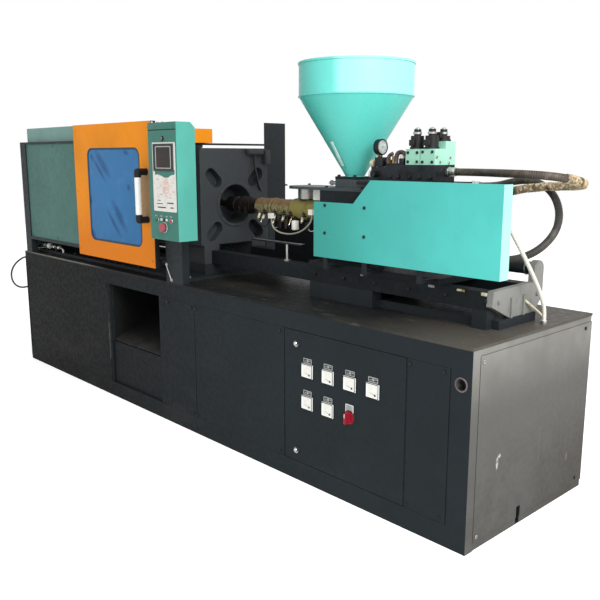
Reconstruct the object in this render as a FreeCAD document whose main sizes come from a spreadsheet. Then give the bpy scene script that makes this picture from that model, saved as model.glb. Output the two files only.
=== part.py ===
import FreeCAD, Part
import math
import os

import Sketcher

# Horizontal injection moulding machine. X runs along the machine, from the clamp end (-X) to the
# injection end (+X), the operator stands at -Y, and Z is up. The origin is the middle of the base's
# footprint on the floor. Sizes are in millimetres.

SIZES = {
    # base frame, deck and panels
    "base_length": 4200,
    "base_width": 990,
    "base_height": 880,
    "deck_thickness": 12,
    "sill_height": 100,
    "frame_tube": 60,
    "clamp_sill_inset": 400,
    "clamp_sill_pitch": 600,
    "clamp_rail_inset": 600,
    "motor_sill_inset": 65,
    "pump_sill_inset": 385,
    "cabinet_sill_lap": 15,
    "left_post_lap": 30,
    "narrow_post_left_lap": 25,
    "narrow_post_right_lap": 35,
    "cabinet_post_lap": 45,
    "right_post_lap": 15,
    "rail_height": 88,
    "panel_gauge": 3,
    "panel_seam": 5,
    "post_reveal": 10,
    "left_panel_margin": 50,
    "drop_bay_start": -770,
    "drop_bay_width": 610,
    "drop_bay_reveal": 20,
    "lower_panel_height": 288,
    "lower_panel_setback": 15,
    "narrow_panel_start": -70,
    "narrow_panel_width": 285,
    "cabinet_door_width": 770,
    "cabinet_door_height": 674,
    "cabinet_door_gap": 3,
    "right_panel_width": 215,
    "corner_post_width": 100,
    "corner_post_depth": 54,
    "end_panel_bottom": 33,
    "end_panel_top": 840,
    "lifting_hole_radius": 24,
    "lifting_hole_height": 723,
    "notch_offset": -105,
    "notch_width": 30,
    "notch_height": 86,
    "tray_gauge": 4,
    "tray_back": 180,
    "tray_back_height": 700,
    # cabinet door and what is on it
    "door_clearance": 0.5,
    "door_skin": 2.5,
    "door_depth": 20,
    "meter_width": 74,
    "meter_height": 68,
    "meter_face": 8,
    "meter_body": 60,
    "meter_depth": 55,
    "meter_clearance": 0.5,
    "meter_first": 164,
    "meter_pitch": 141,
    "meter_row_height": 589,
    "meter_row_drop": 162,
    "switch_radius": 30,
    "switch_length": 26,
    "switch_shaft_radius": 8,
    "lock_radius": 15,
    "lock_head": 6,
    "lock_inset": 85,
    "lock_edge": 56,
    "lock_top_edge": 65,
    "turning_clearance": 0.1,
    "cam_length": 34,
    "cam_gauge": 3,
    "cam_gap": 1,
    "striker_gauge": 4,
    # inside the base
    "tank_length": 1000,
    "tank_width": 640,
    "tank_height": 470,
    "tank_start": -1930,
    "motor_radius": 150,
    "motor_length": 400,
    "motor_start": 270,
    "motor_height": 300,
    "pump_radius": 75,
    "pump_length": 190,
    "cabinet_depth": 240,
    "plate_gauge": 3,
    "contactor_width": 90,
    "contactor_height": 110,
    "contactor_depth": 70,
    "contactor_margin": 60,
    "contactor_pitch": 135,
    "contactor_level": 200,
    "contactor_rise": 280,
    # clamp bed and platens
    "axis_height": 1322,
    "clamp_bed_thickness": 20,
    "clamp_bed_end": 40,
    "clamp_bed_front": 415,
    "clamp_bed_back": 315,
    "opening_width": 250,
    "opening_length": 470,
    "opening_start": -700,
    "way_inner": 132,
    "way_width": 111,
    "way_height": 64,
    "slide_gap": 0.3,
    "platen_width": 530,
    "platen_top": 343,
    "platen_arch": 242,
    "platen_corner": 25,
    "fixed_platen_face": -17,
    "fixed_platen_thickness": 200,
    "moving_platen_thickness": 140,
    "rear_platen_thickness": 200,
    "open_daylight": 500,
    "nozzle_well_radius": 122,
    "nozzle_well_depth": 150,
    "locating_radius": 50,
    "locating_depth": 30,
    "sprue_radius": 25,
    "slot_inner": 162,
    "slot_outer": 300,
    "slot_width": 78,
    "slot_depth": 60,
    "bolt_spacing": 280,
    "bolt_radius": 8,
    "bolt_depth": 30,
    "tie_bar_radius": 30,
    "tie_bar_y": 200,
    "tie_bar_z": 290,
    "tie_bar_seat": 170,
    "tie_bar_clearance": 0.05,
    "tie_bar_slide": 0.1,
    "tie_nut_radius": 55,
    "tie_nut_length": 60,
    "rear_platen_gap": 645,
    "ram_radius": 140,
    "ram_bore": 60,
    "ram_length": 1090,
    "cylinder_wall": 50,
    "cylinder_room": 30,
    "cylinder_end": 25,
    "ejector_radius": 20,
    "ejector_length": 420,
    "ejector_housing_radius": 52,
    "ejector_housing_length": 300,
    # guards and operator door
    "guard_post_width": 92,
    "guard_post_start": -2055,
    "guard_rail_depth": 50,
    "guard_rail_bottom": 1682,
    "guard_rail_top": 1720,
    "lower_rail_bottom": 985,
    "lower_rail_top": 1005,
    "lower_rail_depth": 25,
    "middle_post_start": -1060,
    "middle_post_width": 20,
    "control_post_start": -60,
    "control_post_width": 170,
    "front_rail_bottom": 1704,
    "rear_rail_bottom": 1620,
    "rear_rail_height": 36,
    "cross_bar_width": 12,
    "cross_bar_height": 13,
    "cross_bar_gauge": 12,
    "cross_bar_start": -112,
    "rear_column_start": -215,
    "rear_column_width": 115,
    "rear_column_gauge": 12,
    "rear_column_depth": 175,
    "rear_column_top": 1830,
    "guard_panel_gauge": 3,
    "rear_panel_bottom": 900,
    "top_cover_start": -2014,
    "top_cover_width": 900,
    "top_cover_height": 102,
    "top_guard_back": -167,
    "top_guard_height": 82,
    "cover_gauge": 3,
    "door_start": -1070,
    "door_width": 965,
    "door_bottom": 958,
    "door_top": 1818,
    "door_front": 540,
    "door_pan": 30,
    "window_left": 190,
    "window_width": 630,
    "window_bottom": 122,
    "window_height": 580,
    "window_corner": 45,
    "window_overlap": 12,
    "window_gauge": 5,
    "shoe_length": 60,
    "shoe_height": 30,
    "shoe_lip": 10,
    "handle_inset": 63,
    "handle_reach": 60,
    "handle_radius": 19,
    "elbow_radius": 20,
    "grip_bottom": 1278,
    "grip_top": 1495,
    "elbow_drop": 32,
    # control box
    "box_start": 40,
    "box_width": 277,
    "box_bottom": 1160,
    "box_top": 1796,
    "box_front": 650,
    "box_depth": 122,
    "box_chamfer": 30,
    "screen_inset": 51,
    "screen_width": 198,
    "screen_bottom": 1536,
    "screen_height": 147,
    "screen_proud": 4,
    "stop_x": 178,
    "stop_z": 1230,
    "stop_head_radius": 24,
    "stop_stem_radius": 11,
    "button_radius": 9,
    "button_z": 1268,
    "button_left_x": 112,
    "button_right_x": 248,
    "button_bore_depth": 26,
    "button_stem": 16,
    "button_proud": 10,
    # injection bed, beams and rear bracket
    "bed_start": 860,
    "bed_end": 1993,
    "bed_width": 300,
    "bed_height": 40,
    "beam_inner": 120,
    "beam_width": 70,
    "beam_bottom": 965,
    "beam_height": 80,
    "beam_end": 1955,
    "duct_start": 215,
    "duct_length": 630,
    "duct_width": 60,
    "duct_height": 220,
    "duct_gauge": 3,
    "front_foot_length": 440,
    "rear_foot_length": 75,
    "switch_rail_y": -155,
    "switch_rail_start": 350,
    "switch_rail_end": 772,
    "switch_rail_rise": 95,
    "switch_rail_width": 30,
    "switch_rail_gauge": 8,
    "switch_rail_post": 640,
    "bracket_thickness": 30,
    "bracket_reach": 198,
    "bracket_lean": 8,
    "bracket_top": 1052,
    "bracket_shoulder": 985,
    "bracket_foot_front": 56,
    "bracket_foot_back": 150,
    "bracket_saddle": 1058,
    "lug_seat": 1110,
    "bracket_rib": 12,
    "bracket_rib_height": 90,
    "cylinder_y": 175,
    "cylinder_z": 1113,
    "small_cylinder_radius": 29,
    "small_cylinder_length": 285,
    "small_rod_radius": 12,
    "lug_radius": 40,
    "rod_clearance": 0.1,
    # carriage and what stands on it
    "carriage_start": 860,
    "carriage_length": 852,
    "carriage_front": 200,
    "carriage_back": 285,
    "carriage_thickness": 30,
    "rod_lug_start": 1385,
    "rod_lug_length": 20,
    "hose_plate_start": 1530,
    "hose_plate_gauge": 12,
    "hose_plate_inner": 208,
    "hose_plate_top": 1488,
    "port_plate_start": 1680,
    "port_plate_gauge": 15,
    "port_plate_left": -60,
    "port_plate_right": 15,
    "port_plate_top": 1200,
    "table_start": 1180,
    "table_length": 420,
    "table_half_width": 184,
    "table_gauge": 15,
    "table_leg_start": 1290,
    "table_leg_length": 70,
    "table_leg_gauge": 14,
    "strap_gauge": 8,
    "strap_width": 28,
    "feed_start": 850,
    "feed_length": 300,
    "feed_half_width": 110,
    "feed_top": 1440,
    "throat_radius": 45,
    "hopper_x": 1000,
    "barrel_radius": 42,
    "barrel_clearance": 0.05,
    "barrel_front": 20,
    "barrel_cap_radius": 48,
    "barrel_cap_length": 75,
    "nozzle_length": 130,
    "nozzle_radius": 18,
    "nozzle_tip_radius": 8,
    "nozzle_body_radius": 30,
    "screw_radius": 20,
    "screw_clearance": 0.1,
    "screw_root_radius": 14,
    "shank_radius": 18,
    "band_thickness": 8,
    "band_width": 72,
    "band_gap": 38,
    "band_start": 231,
    "band_first_width": 114,
    "heater_cover_start": 545,
    "heater_cover_length": 255,
    "heater_cover_radius": 58,
    "terminal_front": -80,
    "terminal_size": 30,
    "hopper_plate_start": 540,
    "hopper_plate_end": 1155,
    "hopper_plate_gauge": 15,
    "support_post_x": 638,
    "support_post_radius": 52,
    "terminal_box_start": 747,
    "terminal_box_length": 70,
    "gate_half_width": 75,
    "gate_length": 140,
    "gate_height": 45,
    "blade_half_width": 55,
    "blade_gauge": 4,
    "blade_level": 19,
    "blade_stick_out": 70,
    "hopper_radius": 295,
    "hopper_neck_radius": 48,
    "hopper_wall": 3,
    "hopper_neck_height": 12,
    "hopper_seam": 1915,
    "hopper_rim": 2082,
    "hopper_lip": 4,
    "injection_cylinder_y": 115,
    "injection_cylinder_radius": 45,
    "injection_cylinder_length": 300,
    "injection_rod_radius": 20,
    "injection_rod_length": 260,
    "drive_plate_start": 1560,
    "drive_plate_thickness": 80,
    "drive_plate_half_width": 165,
    "drive_plate_half_height": 110,
    "screw_motor_radius": 85,
    "screw_motor_length": 200,
    "manifold_start": 1292,
    "manifold_end": 1585,
    "manifold_front": 100,
    "manifold_back": 57,
    "manifold_height": 82,
    "valve_start": 1416,
    "valve_height": 73,
    "valve_gap": 4,
    "upper_valve_height": 35,
    "solenoid_radius": 31,
    "solenoid_height": 60,
    "solenoid_cap_radius": 17,
    "solenoid_cap_height": 30,
    "gauge_x": 1222,
    "gauge_y": -60,
    "gauge_z": 1661,
    "gauge_radius": 38,
    "gauge_depth": 26,
    "gauge_stem_radius": 12,
    "gauge_block": 60,
    "gauge_block_height": 70,
    # folded cover in front of the injection unit
    "cover_y": 300,
    "cover_start": 1000,
    "cover_end": 2077,
    "cover_bottom": 1120,
    "cover_low_top": 1395,
    "cover_step_start": 1267,
    "cover_step_end": 1374,
    "cover_top": 1507,
    "cover_sheet": 2,
    "cover_end_flange": 64,
    "cover_lip": 22,
    "cover_hole_radius": 7,
    "cover_hole_left": 1079,
    "cover_strap": 1670,
    "cover_hole_right": 1340,
    "cover_hole_low": 1243,
    "cover_hole_high": 1391,
    # hoses and cables
    "upper_hose_diameter": 34,
    "loop_hose_diameter": 34,
    "conduit_diameter": 18,
    "end_cable_diameter": 14,
    "heater_lead_diameter": 9,
    "ferrule_growth": 5,
    "gland_height": 16,
}

V = FreeCAD.Vector
DIRECTIONS = {"x": V(1, 0, 0), "y": V(0, 1, 0), "z": V(0, 0, 1)}
PLANES = {"x": "YZ_Plane", "y": "XZ_Plane", "z": "XY_Plane"}

doc = FreeCAD.newDocument("InjectionMouldingMachine")
sheet = doc.addObject("Spreadsheet::Sheet", "Sizes")
for row, (alias, size) in enumerate(SIZES.items(), start=1):
    sheet.set(f"A{row}", alias.replace("_", " "))
    sheet.set(f"B{row}", str(size))
    sheet.setAlias(f"B{row}", alias)
doc.recompute()


class Sized:
    """A length that carries both its value and the sheet formula that gives it."""

    def __init__(self, text, value):
        self.text = text
        self.value = value

    def joined(self, sign, other, value, turned=False):
        first, second = (other, self) if turned else (self, other)
        return Sized(f"({first.text} {sign} {second.text})", value)

    def __add__(self, other):
        other = sized(other)
        return self.joined("+", other, self.value + other.value)

    __radd__ = __add__

    def __sub__(self, other):
        other = sized(other)
        return self.joined("-", other, self.value - other.value)

    def __rsub__(self, other):
        other = sized(other)
        return self.joined("-", other, other.value - self.value, turned=True)

    def __mul__(self, other):
        other = sized(other)
        return self.joined("*", other, self.value * other.value)

    __rmul__ = __mul__

    def __truediv__(self, other):
        other = sized(other)
        return self.joined("/", other, self.value / other.value)

    def __neg__(self):
        return Sized(f"(0 - {self.text})", -self.value)


def sized(length):
    """A plain number as a Sized length, and a Sized length as it is."""
    if isinstance(length, Sized):
        return length
    return Sized(str(length), float(length))


class Dimensions:
    """The sheet's cells, read by name as Sized lengths."""

    def __getattr__(self, alias):
        return Sized(f"Sizes.{alias}", float(sheet.get(alias)))


d = Dimensions()
parts = []


def keep(label, item):
    """Names a finished sub-part; its label is also its file's name."""
    item.Label = label
    parts.append(item)
    return item


def bind(item, prop, length):
    item.setExpression(prop, sized(length).text)


def place(item, x=0, y=0, z=0):
    for axis, length in zip("xyz", (x, y, z)):
        bind(item, f"Placement.Base.{axis}", length)
    return item


def slab(low, high):
    """A block between its lowest and its highest corner."""
    item = doc.addObject("Part::Box", "Block")
    for prop, start, end in zip(("Length", "Width", "Height"), low, high):
        bind(item, prop, sized(end) - start)
    return place(item, *low)


def rod(axis, start, end, radius):
    """A round bar along an axis, from its start point to the end's place on that axis."""
    item = doc.addObject("Part::Cylinder", "Bar")
    bind(item, "Radius", radius)
    bind(item, "Height", sized(end) - start["xyz".index(axis)])
    item.Placement.Rotation = FreeCAD.Rotation(DIRECTIONS["z"], DIRECTIONS[axis])
    return place(item, *start)


def fuse(*items):
    item = doc.addObject("Part::MultiFuse", "Joined")
    item.Shapes = list(items)
    return item


def cut(base, *tools):
    item = doc.addObject("Part::Cut", "Holed")
    item.Base = base
    item.Tool = tools[0] if len(tools) == 1 else fuse(*tools)
    return item


def group(*items):
    """Like pieces that share a node, each still a solid of its own."""
    item = doc.addObject("Part::Compound", "Set")
    item.Links = list(items)
    return item


def tube(axis, start, end, radius, bore):
    return cut(rod(axis, start, end, radius), rod(axis, start, end, bore))


def new_body():
    return doc.addObject("PartDesign::Body", "Body")


def sketch_on(body, axis, offset=0):
    """A sketch square to an axis of its body, at an offset along it."""
    sketch = body.newObject("Sketcher::SketchObject", "Outline")
    plane = next(item for item in body.Origin.OriginFeatures if item.Role == PLANES[axis])
    sketch.AttachmentSupport = [(plane, "")]
    sketch.MapMode = "FlatFace"
    bind(sketch, "AttachmentOffset.Base.z", offset)
    return sketch


def draw(sketch, points):
    """A closed outline of straight lines whose corners are tied to the sheet."""
    corners = [(sized(across), sized(up)) for across, up in points]
    flat = [V(across.value, up.value, 0) for across, up in corners]
    first = sketch.GeometryCount
    sketch.addGeometry([Part.LineSegment(a, b) for a, b in zip(flat, flat[1:] + flat[:1])])
    for index, (across, up) in enumerate(corners):
        line = first + index
        following = first + (index + 1) % len(corners)
        sketch.addConstraint(Sketcher.Constraint("Coincident", line, 2, following, 1))
        for kind, length in (("DistanceX", across), ("DistanceY", up)):
            tie = sketch.addConstraint(Sketcher.Constraint(kind, -1, 1, line, 1, length.value))
            sketch.setExpression(f"Constraints[{tie}]", length.text)


def draw_circle(sketch, across, up, radius):
    across, up, radius = sized(across), sized(up), sized(radius)
    centre = V(across.value, up.value, 0)
    circle = sketch.addGeometry(Part.Circle(centre, V(0, 0, 1), radius.value))
    for kind, length in (("DistanceX", across), ("DistanceY", up)):
        tie = sketch.addConstraint(Sketcher.Constraint(kind, -1, 1, circle, 3, length.value))
        sketch.setExpression(f"Constraints[{tie}]", length.text)
    tie = sketch.addConstraint(Sketcher.Constraint("Radius", circle, radius.value))
    sketch.setExpression(f"Constraints[{tie}]", radius.text)


def pad(body, sketch, length):
    feature = body.newObject("PartDesign::Pad", "Pad")
    feature.Profile = sketch
    bind(feature, "Length", length)
    return feature


def pocket(body, sketch, depth, towards_positive):
    feature = body.newObject("PartDesign::Pocket", "Pocket")
    feature.Profile = sketch
    bind(feature, "Length", depth)
    feature.Reversed = towards_positive
    return feature


def profiled(axis, points, low, high):
    """A body with one outline, padded between two places on an axis."""
    body = new_body()
    sketch = sketch_on(body, axis)
    draw(sketch, points)
    pad(body, sketch, sized(high) - low)
    anchor = {"x": (low, 0, 0), "y": (0, high, 0), "z": (0, 0, low)}
    return place(body, *anchor[axis])


def rectangle(across_low, up_low, across_high, up_high):
    return [(across_low, up_low), (across_high, up_low), (across_high, up_high), (across_low, up_high)]


def round_edges(body, direction, radius, chosen=None):
    """Rounds the body's straight edges along a direction, or those that chosen accepts."""
    doc.recompute()
    base = body.Tip
    names = []
    for number, edge in enumerate(base.Shape.Edges, start=1):
        if not isinstance(edge.Curve, Part.Line) or len(edge.Vertexes) < 2:
            continue
        along = (edge.Vertexes[1].Point - edge.Vertexes[0].Point).normalize()
        if abs(along.dot(DIRECTIONS[direction])) > 0.999 and (chosen is None or chosen(edge.CenterOfMass)):
            names.append(f"Edge{number}")
    fillet = body.newObject("PartDesign::Fillet", "Fillet")
    fillet.Base = (base, names)
    bind(fillet, "Radius", radius)
    return body


def revolved(axis, points):
    """A body of revolution: its outline holds pairs of place along the axis and radius."""
    body = new_body()
    sketch = sketch_on(body, "y")
    draw(sketch, points if axis == "x" else [(radius, along) for along, radius in points])
    turn = body.newObject("PartDesign::Revolution", "Revolution")
    turn.Profile = sketch
    turn.ReferenceAxis = (sketch, ["H_Axis" if axis == "x" else "V_Axis"])
    turn.Angle = 360
    return body


def flexible(label, route, diameter):
    """A hose or cable: straight runs joined by tangent arcs along points chosen by hand."""
    points = [V(*point) for point in route]
    edges = []
    radii = []
    length = 0
    start = points[0]
    for before, corner, after in zip(points, points[1:], points[2:]):
        back = before - corner
        ahead = after - corner
        setback = 0.45 * min(back.Length, ahead.Length)
        turn = math.pi - back.getAngle(ahead)
        radius = setback / math.tan(turn / 2)
        back.normalize()
        ahead.normalize()
        entry = corner + back * setback
        leave = corner + ahead * setback
        middle = corner + (back + ahead).normalize() * (radius / math.cos(turn / 2) - radius)
        edges.append(Part.LineSegment(start, entry).toShape())
        edges.append(Part.Arc(entry, middle, leave).toShape())
        radii.append(radius)
        start = leave
    edges.append(Part.LineSegment(start, points[-1]).toShape())
    length = sum(edge.Length for edge in edges)
    half = sized(diameter).value / 2
    section = Part.Wire(Part.Circle(points[0], points[1] - points[0], half).toShape())
    solid = Part.Wire(edges).makePipeShell([section], True, False)
    expected = math.pi * half * half * length
    print(f"{label}: length {length:.0f}, least radius {min(radii):.0f}, volume ratio "
          f"{solid.Volume / expected:.4f}, radii {[round(radius) for radius in radii]}")
    item = doc.addObject("Part::Feature", "Line")
    item.Shape = solid
    return keep(label, item)


# Routes of the hoses and cables. The end cable's X is counted from the clamp end of the base.
UPPER_HOSE = [
    (1635, 0, 1545), (1735, 0, 1545), (1815, -30, 1545), (1890, -92, 1546), (1976, -132, 1546),
    (2090, -132, 1544), (2183, -64, 1534), (2219, 45, 1514), (2183, 154, 1496), (2090, 222, 1488),
    (1980, 226, 1483), (1876, 217, 1472), (1774, 222, 1452), (1684, 229, 1440), (1592, 229, 1440),
]
LOOP_HOSE = [
    (1592, 264, 1474), (1676, 264, 1474), (1762, 273, 1498), (1846, 281, 1508), (1928, 278, 1486),
    (1998, 256, 1436), (2052, 206, 1364), (2074, 138, 1288), (2043, 66, 1215), (1974, 13, 1172),
    (1882, -9, 1160), (1745, -9, 1160),
]
CONDUIT = [
    (2060, -241.5, 1353.2), (2060, -166.6, 1279.6), (2060, -90.2, 1200.5), (2060, -15.9, 1119.4),
    (2060, 49, 1043.4), (2060, 92.6, 976.3), (2060, 108, 934), (2060, 108, 896),
]
END_CABLE = [
    (-16, -465, 822), (-80, -465, 822), (-138, -488, 792), (-184, -514, 750), (-208, -534, 694),
    (-198, -540, 632), (-160, -528, 584), (-112, -496, 566), (-62, -465, 580), (-16, -465, 580),
]
HEATER_LEAD = [
    (405, -65, 1262), (405, -65, 1230), (430, -66, 1200), (480, -67, 1184), (548, -68, 1180),
    (612, -68, 1188), (668, -67, 1208), (712, -66, 1238), (742, -65, 1270), (742, -65, 1300),
]


# Places that several sub-parts share.
half_length = d.base_length / 2
half_width = d.base_width / 2
striker_back = d.door_depth + 1 + d.striker_gauge - half_width
skin_face = half_width - d.panel_gauge
end_face = half_length - d.panel_gauge
deck_under = d.base_height - d.deck_thickness
rail_bottom = deck_under - d.rail_height
drop_bay_end = d.drop_bay_start + d.drop_bay_width
narrow_panel_end = d.narrow_panel_start + d.narrow_panel_width
corner_post_start = half_length - d.corner_post_width
right_panel_end = corner_post_start - d.panel_seam
right_panel_start = right_panel_end - d.right_panel_width
cabinet_end = right_panel_start - d.post_reveal
cabinet_start = cabinet_end - d.cabinet_door_width
middle_panel_start = narrow_panel_end + d.panel_seam
middle_panel_end = cabinet_start - d.post_reveal
cabinet_door_bottom = d.sill_height + d.cabinet_door_gap
frame_back = half_width - d.frame_tube
opening_end = d.opening_start + d.opening_length
clamp_bed_top = d.base_height + d.clamp_bed_thickness
way_top = clamp_bed_top + d.way_height
way_outer = d.way_inner + d.way_width
mould_face = d.fixed_platen_face - d.fixed_platen_thickness
moving_face = mould_face - d.open_daylight
moving_back = moving_face - d.moving_platen_thickness
rear_platen_front = moving_back - d.rear_platen_gap
rear_platen_back = rear_platen_front - d.rear_platen_thickness
guard_front = half_width
guard_back = half_width - d.guard_rail_depth
guard_inner_end = d.guard_post_start + d.guard_post_width
control_post_end = d.control_post_start + d.control_post_width
bed_top = d.base_height + d.bed_height
beam_outer = d.beam_inner + d.beam_width
beam_top = d.beam_bottom + d.beam_height
carriage_bottom = beam_top + d.slide_gap
carriage_top = carriage_bottom + d.carriage_thickness
carriage_end = d.carriage_start + d.carriage_length
feed_end = d.feed_start + d.feed_length
hopper_plate_top = d.feed_top + d.hopper_plate_gauge
gate_top = hopper_plate_top + d.gate_height
table_top = carriage_top + 419.7
manifold_top = table_top + d.manifold_height
door_back = d.door_front - d.door_pan
door_end = d.door_start + d.door_width
door_inner = d.door_front - d.cover_gauge
box_back = d.box_front - d.box_depth


def base_frame():
    """Welded frame of the base: sills, posts and top rails, each a tube of its own."""
    corner_notch = slab((half_length - d.frame_tube, d.notch_offset, 4),
                        (half_length, d.notch_offset + d.notch_width, d.notch_height))
    members = []
    for side in (-1, 1):
        outer, inner = side * half_width, side * frame_back
        low, high = (outer, inner) if side < 0 else (inner, outer)
        members.append(slab((-end_face, low, 0), (corner_post_start, high, d.sill_height)))
        members.append(slab((-end_face, low, rail_bottom), (corner_post_start, high, deck_under)))
    post_spans = [
        (-end_face, -half_length + d.left_panel_margin + d.left_post_lap),
        (d.drop_bay_start - d.frame_tube, d.drop_bay_start),
        (drop_bay_end, drop_bay_end + 2 * d.frame_tube),
        (narrow_panel_end - d.narrow_post_left_lap, narrow_panel_end + d.narrow_post_right_lap),
        (cabinet_start - d.cabinet_post_lap, cabinet_start),
        (cabinet_end, cabinet_end + d.frame_tube),
        (right_panel_end - d.right_post_lap, corner_post_start),
    ]
    for start, end in post_spans:
        members.append(slab((start, -skin_face, d.sill_height), (end, -frame_back, rail_bottom)))
        members.append(slab((start, frame_back, d.sill_height), (end, skin_face, rail_bottom)))
    for lock_x, lock_z in lock_centres():
        members.append(slab((cabinet_start, striker_back - d.striker_gauge, lock_z - 20),
                            (lock_x - d.cam_length + 11, striker_back, lock_z + 20)))
    corner = slab((corner_post_start, -half_width, 0),
                  (half_length, -half_width + d.corner_post_depth, deck_under))
    hole_x = (corner_post_start + half_length) / 2
    hole = rod("y", (hole_x, -half_width - 1, d.lifting_hole_height), -half_width + 30,
               d.lifting_hole_radius)
    members.append(cut(corner, hole))
    members.append(slab((corner_post_start, frame_back, 0), (end_face, skin_face, deck_under)))
    corner_inner = -half_width + d.corner_post_depth
    sill = slab((end_face - d.frame_tube, corner_inner, 0), (end_face, frame_back, d.sill_height))
    members.append(cut(sill, corner_notch))
    members.append(slab((end_face - d.frame_tube, corner_inner, rail_bottom),
                        (end_face, frame_back, deck_under)))
    for level, height in ((0, d.sill_height), (rail_bottom, d.rail_height)):
        members.append(slab((-end_face, -frame_back, level),
                            (-end_face + d.frame_tube, frame_back, sized(level) + height)))
    before_bay = d.drop_bay_start - d.frame_tube / 2
    before_cabinet = cabinet_start - d.cabinet_sill_lap
    clamp_sill = -half_length + d.clamp_sill_inset
    sill_middles = (clamp_sill, clamp_sill + d.clamp_sill_pitch, before_bay, sized(0),
                    middle_panel_start + d.motor_sill_inset, middle_panel_start + d.pump_sill_inset,
                    before_cabinet)
    for middle in sill_middles:
        members.append(slab((middle - d.frame_tube / 2, -frame_back, 0),
                            (middle + d.frame_tube / 2, frame_back, d.sill_height)))
    rail_middles = (-half_length + d.clamp_rail_inset, before_bay, drop_bay_end + d.frame_tube / 2,
                    before_cabinet)
    for middle in rail_middles:
        members.append(slab((middle - d.frame_tube / 2, -frame_back, rail_bottom),
                            (middle + d.frame_tube / 2, frame_back, deck_under)))
    keep("base_frame", group(*members))


def base_deck():
    """Deck plate over the frame, cut out where the mouldings fall through."""
    half_opening = d.opening_width / 2
    plate = slab((-half_length, -half_width, deck_under), (half_length, half_width, d.base_height))
    opening = slab((d.opening_start, -half_opening, deck_under - 1),
                   (opening_end, half_opening, d.base_height + 1))
    keep("base_deck", cut(plate, opening))


def chute_tray():
    """Folded tray that lets the mouldings slide out of the bay at the front."""
    front = -half_width + d.lower_panel_setback + 10
    mouth = d.sill_height + d.lower_panel_height
    gauge = d.tray_gauge
    behind_rail = -frame_back + gauge
    outer = [(front, mouth), (d.tray_back, d.tray_back_height), (d.tray_back, deck_under),
             (behind_rail, deck_under), (behind_rail, rail_bottom - gauge),
             (front, rail_bottom - gauge)]
    inner = [(front - 1, mouth + gauge), (d.tray_back - gauge, d.tray_back_height + gauge),
             (d.tray_back - gauge, deck_under + 1), (front - 1, deck_under + 1)]
    shell = profiled("x", outer, d.drop_bay_start, drop_bay_end)
    hollow = profiled("x", inner, d.drop_bay_start + gauge, drop_bay_end - gauge)
    keep("chute_tray", cut(shell, hollow))


def body_panels():
    """Screwed sheet panels that close the base on its four sides."""
    low, high = d.sill_height + 1, rail_bottom - 1
    spans = [
        (-half_length + d.left_panel_margin, d.drop_bay_start - d.drop_bay_reveal),
        (d.narrow_panel_start, narrow_panel_end),
        (middle_panel_start, middle_panel_end),
        (right_panel_start, right_panel_end),
    ]
    panels = [slab((start, -half_width, low), (end, -skin_face, high)) for start, end in spans]
    lower_face = -half_width + d.lower_panel_setback
    panels.append(slab((d.drop_bay_start, lower_face, d.sill_height),
                       (drop_bay_end, lower_face + d.panel_gauge, d.sill_height + d.lower_panel_height)))
    rear_edges = (-half_length + d.left_panel_margin, d.drop_bay_start - 30,
                  narrow_panel_end + 5, corner_post_start - 5)
    for start, end in zip(rear_edges, rear_edges[1:]):
        panels.append(slab((start + 1, skin_face, low), (end - 1, half_width, high)))
    corner_inner = -half_width + d.corner_post_depth
    right = slab((end_face, corner_inner, d.end_panel_bottom), (half_length, half_width, d.end_panel_top))
    notch = slab((end_face - 1, d.notch_offset, 4),
                 (half_length + 1, d.notch_offset + d.notch_width, d.notch_height))
    panels.append(cut(right, notch))
    panels.append(slab((-half_length, -half_width, d.end_panel_bottom),
                       (-end_face, half_width, d.end_panel_top)))
    keep("body_panels", group(*panels))


def meter_centres():
    """Places of the square meters: four in the upper row and two in the lower."""
    upper = [(cabinet_start + d.meter_first + column * d.meter_pitch, d.meter_row_height)
             for column in range(4)]
    lower = [(across, d.meter_row_height - d.meter_row_drop) for across, _ in upper[:2]]
    return upper + lower


def switch_centre():
    return (cabinet_start + d.meter_first + 2 * d.meter_pitch, d.meter_row_height - d.meter_row_drop)


def lock_centres():
    across = cabinet_start + d.lock_inset
    return [(across, cabinet_door_bottom + d.cabinet_door_height - d.lock_top_edge),
            (across, cabinet_door_bottom + d.lock_edge)]


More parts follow.
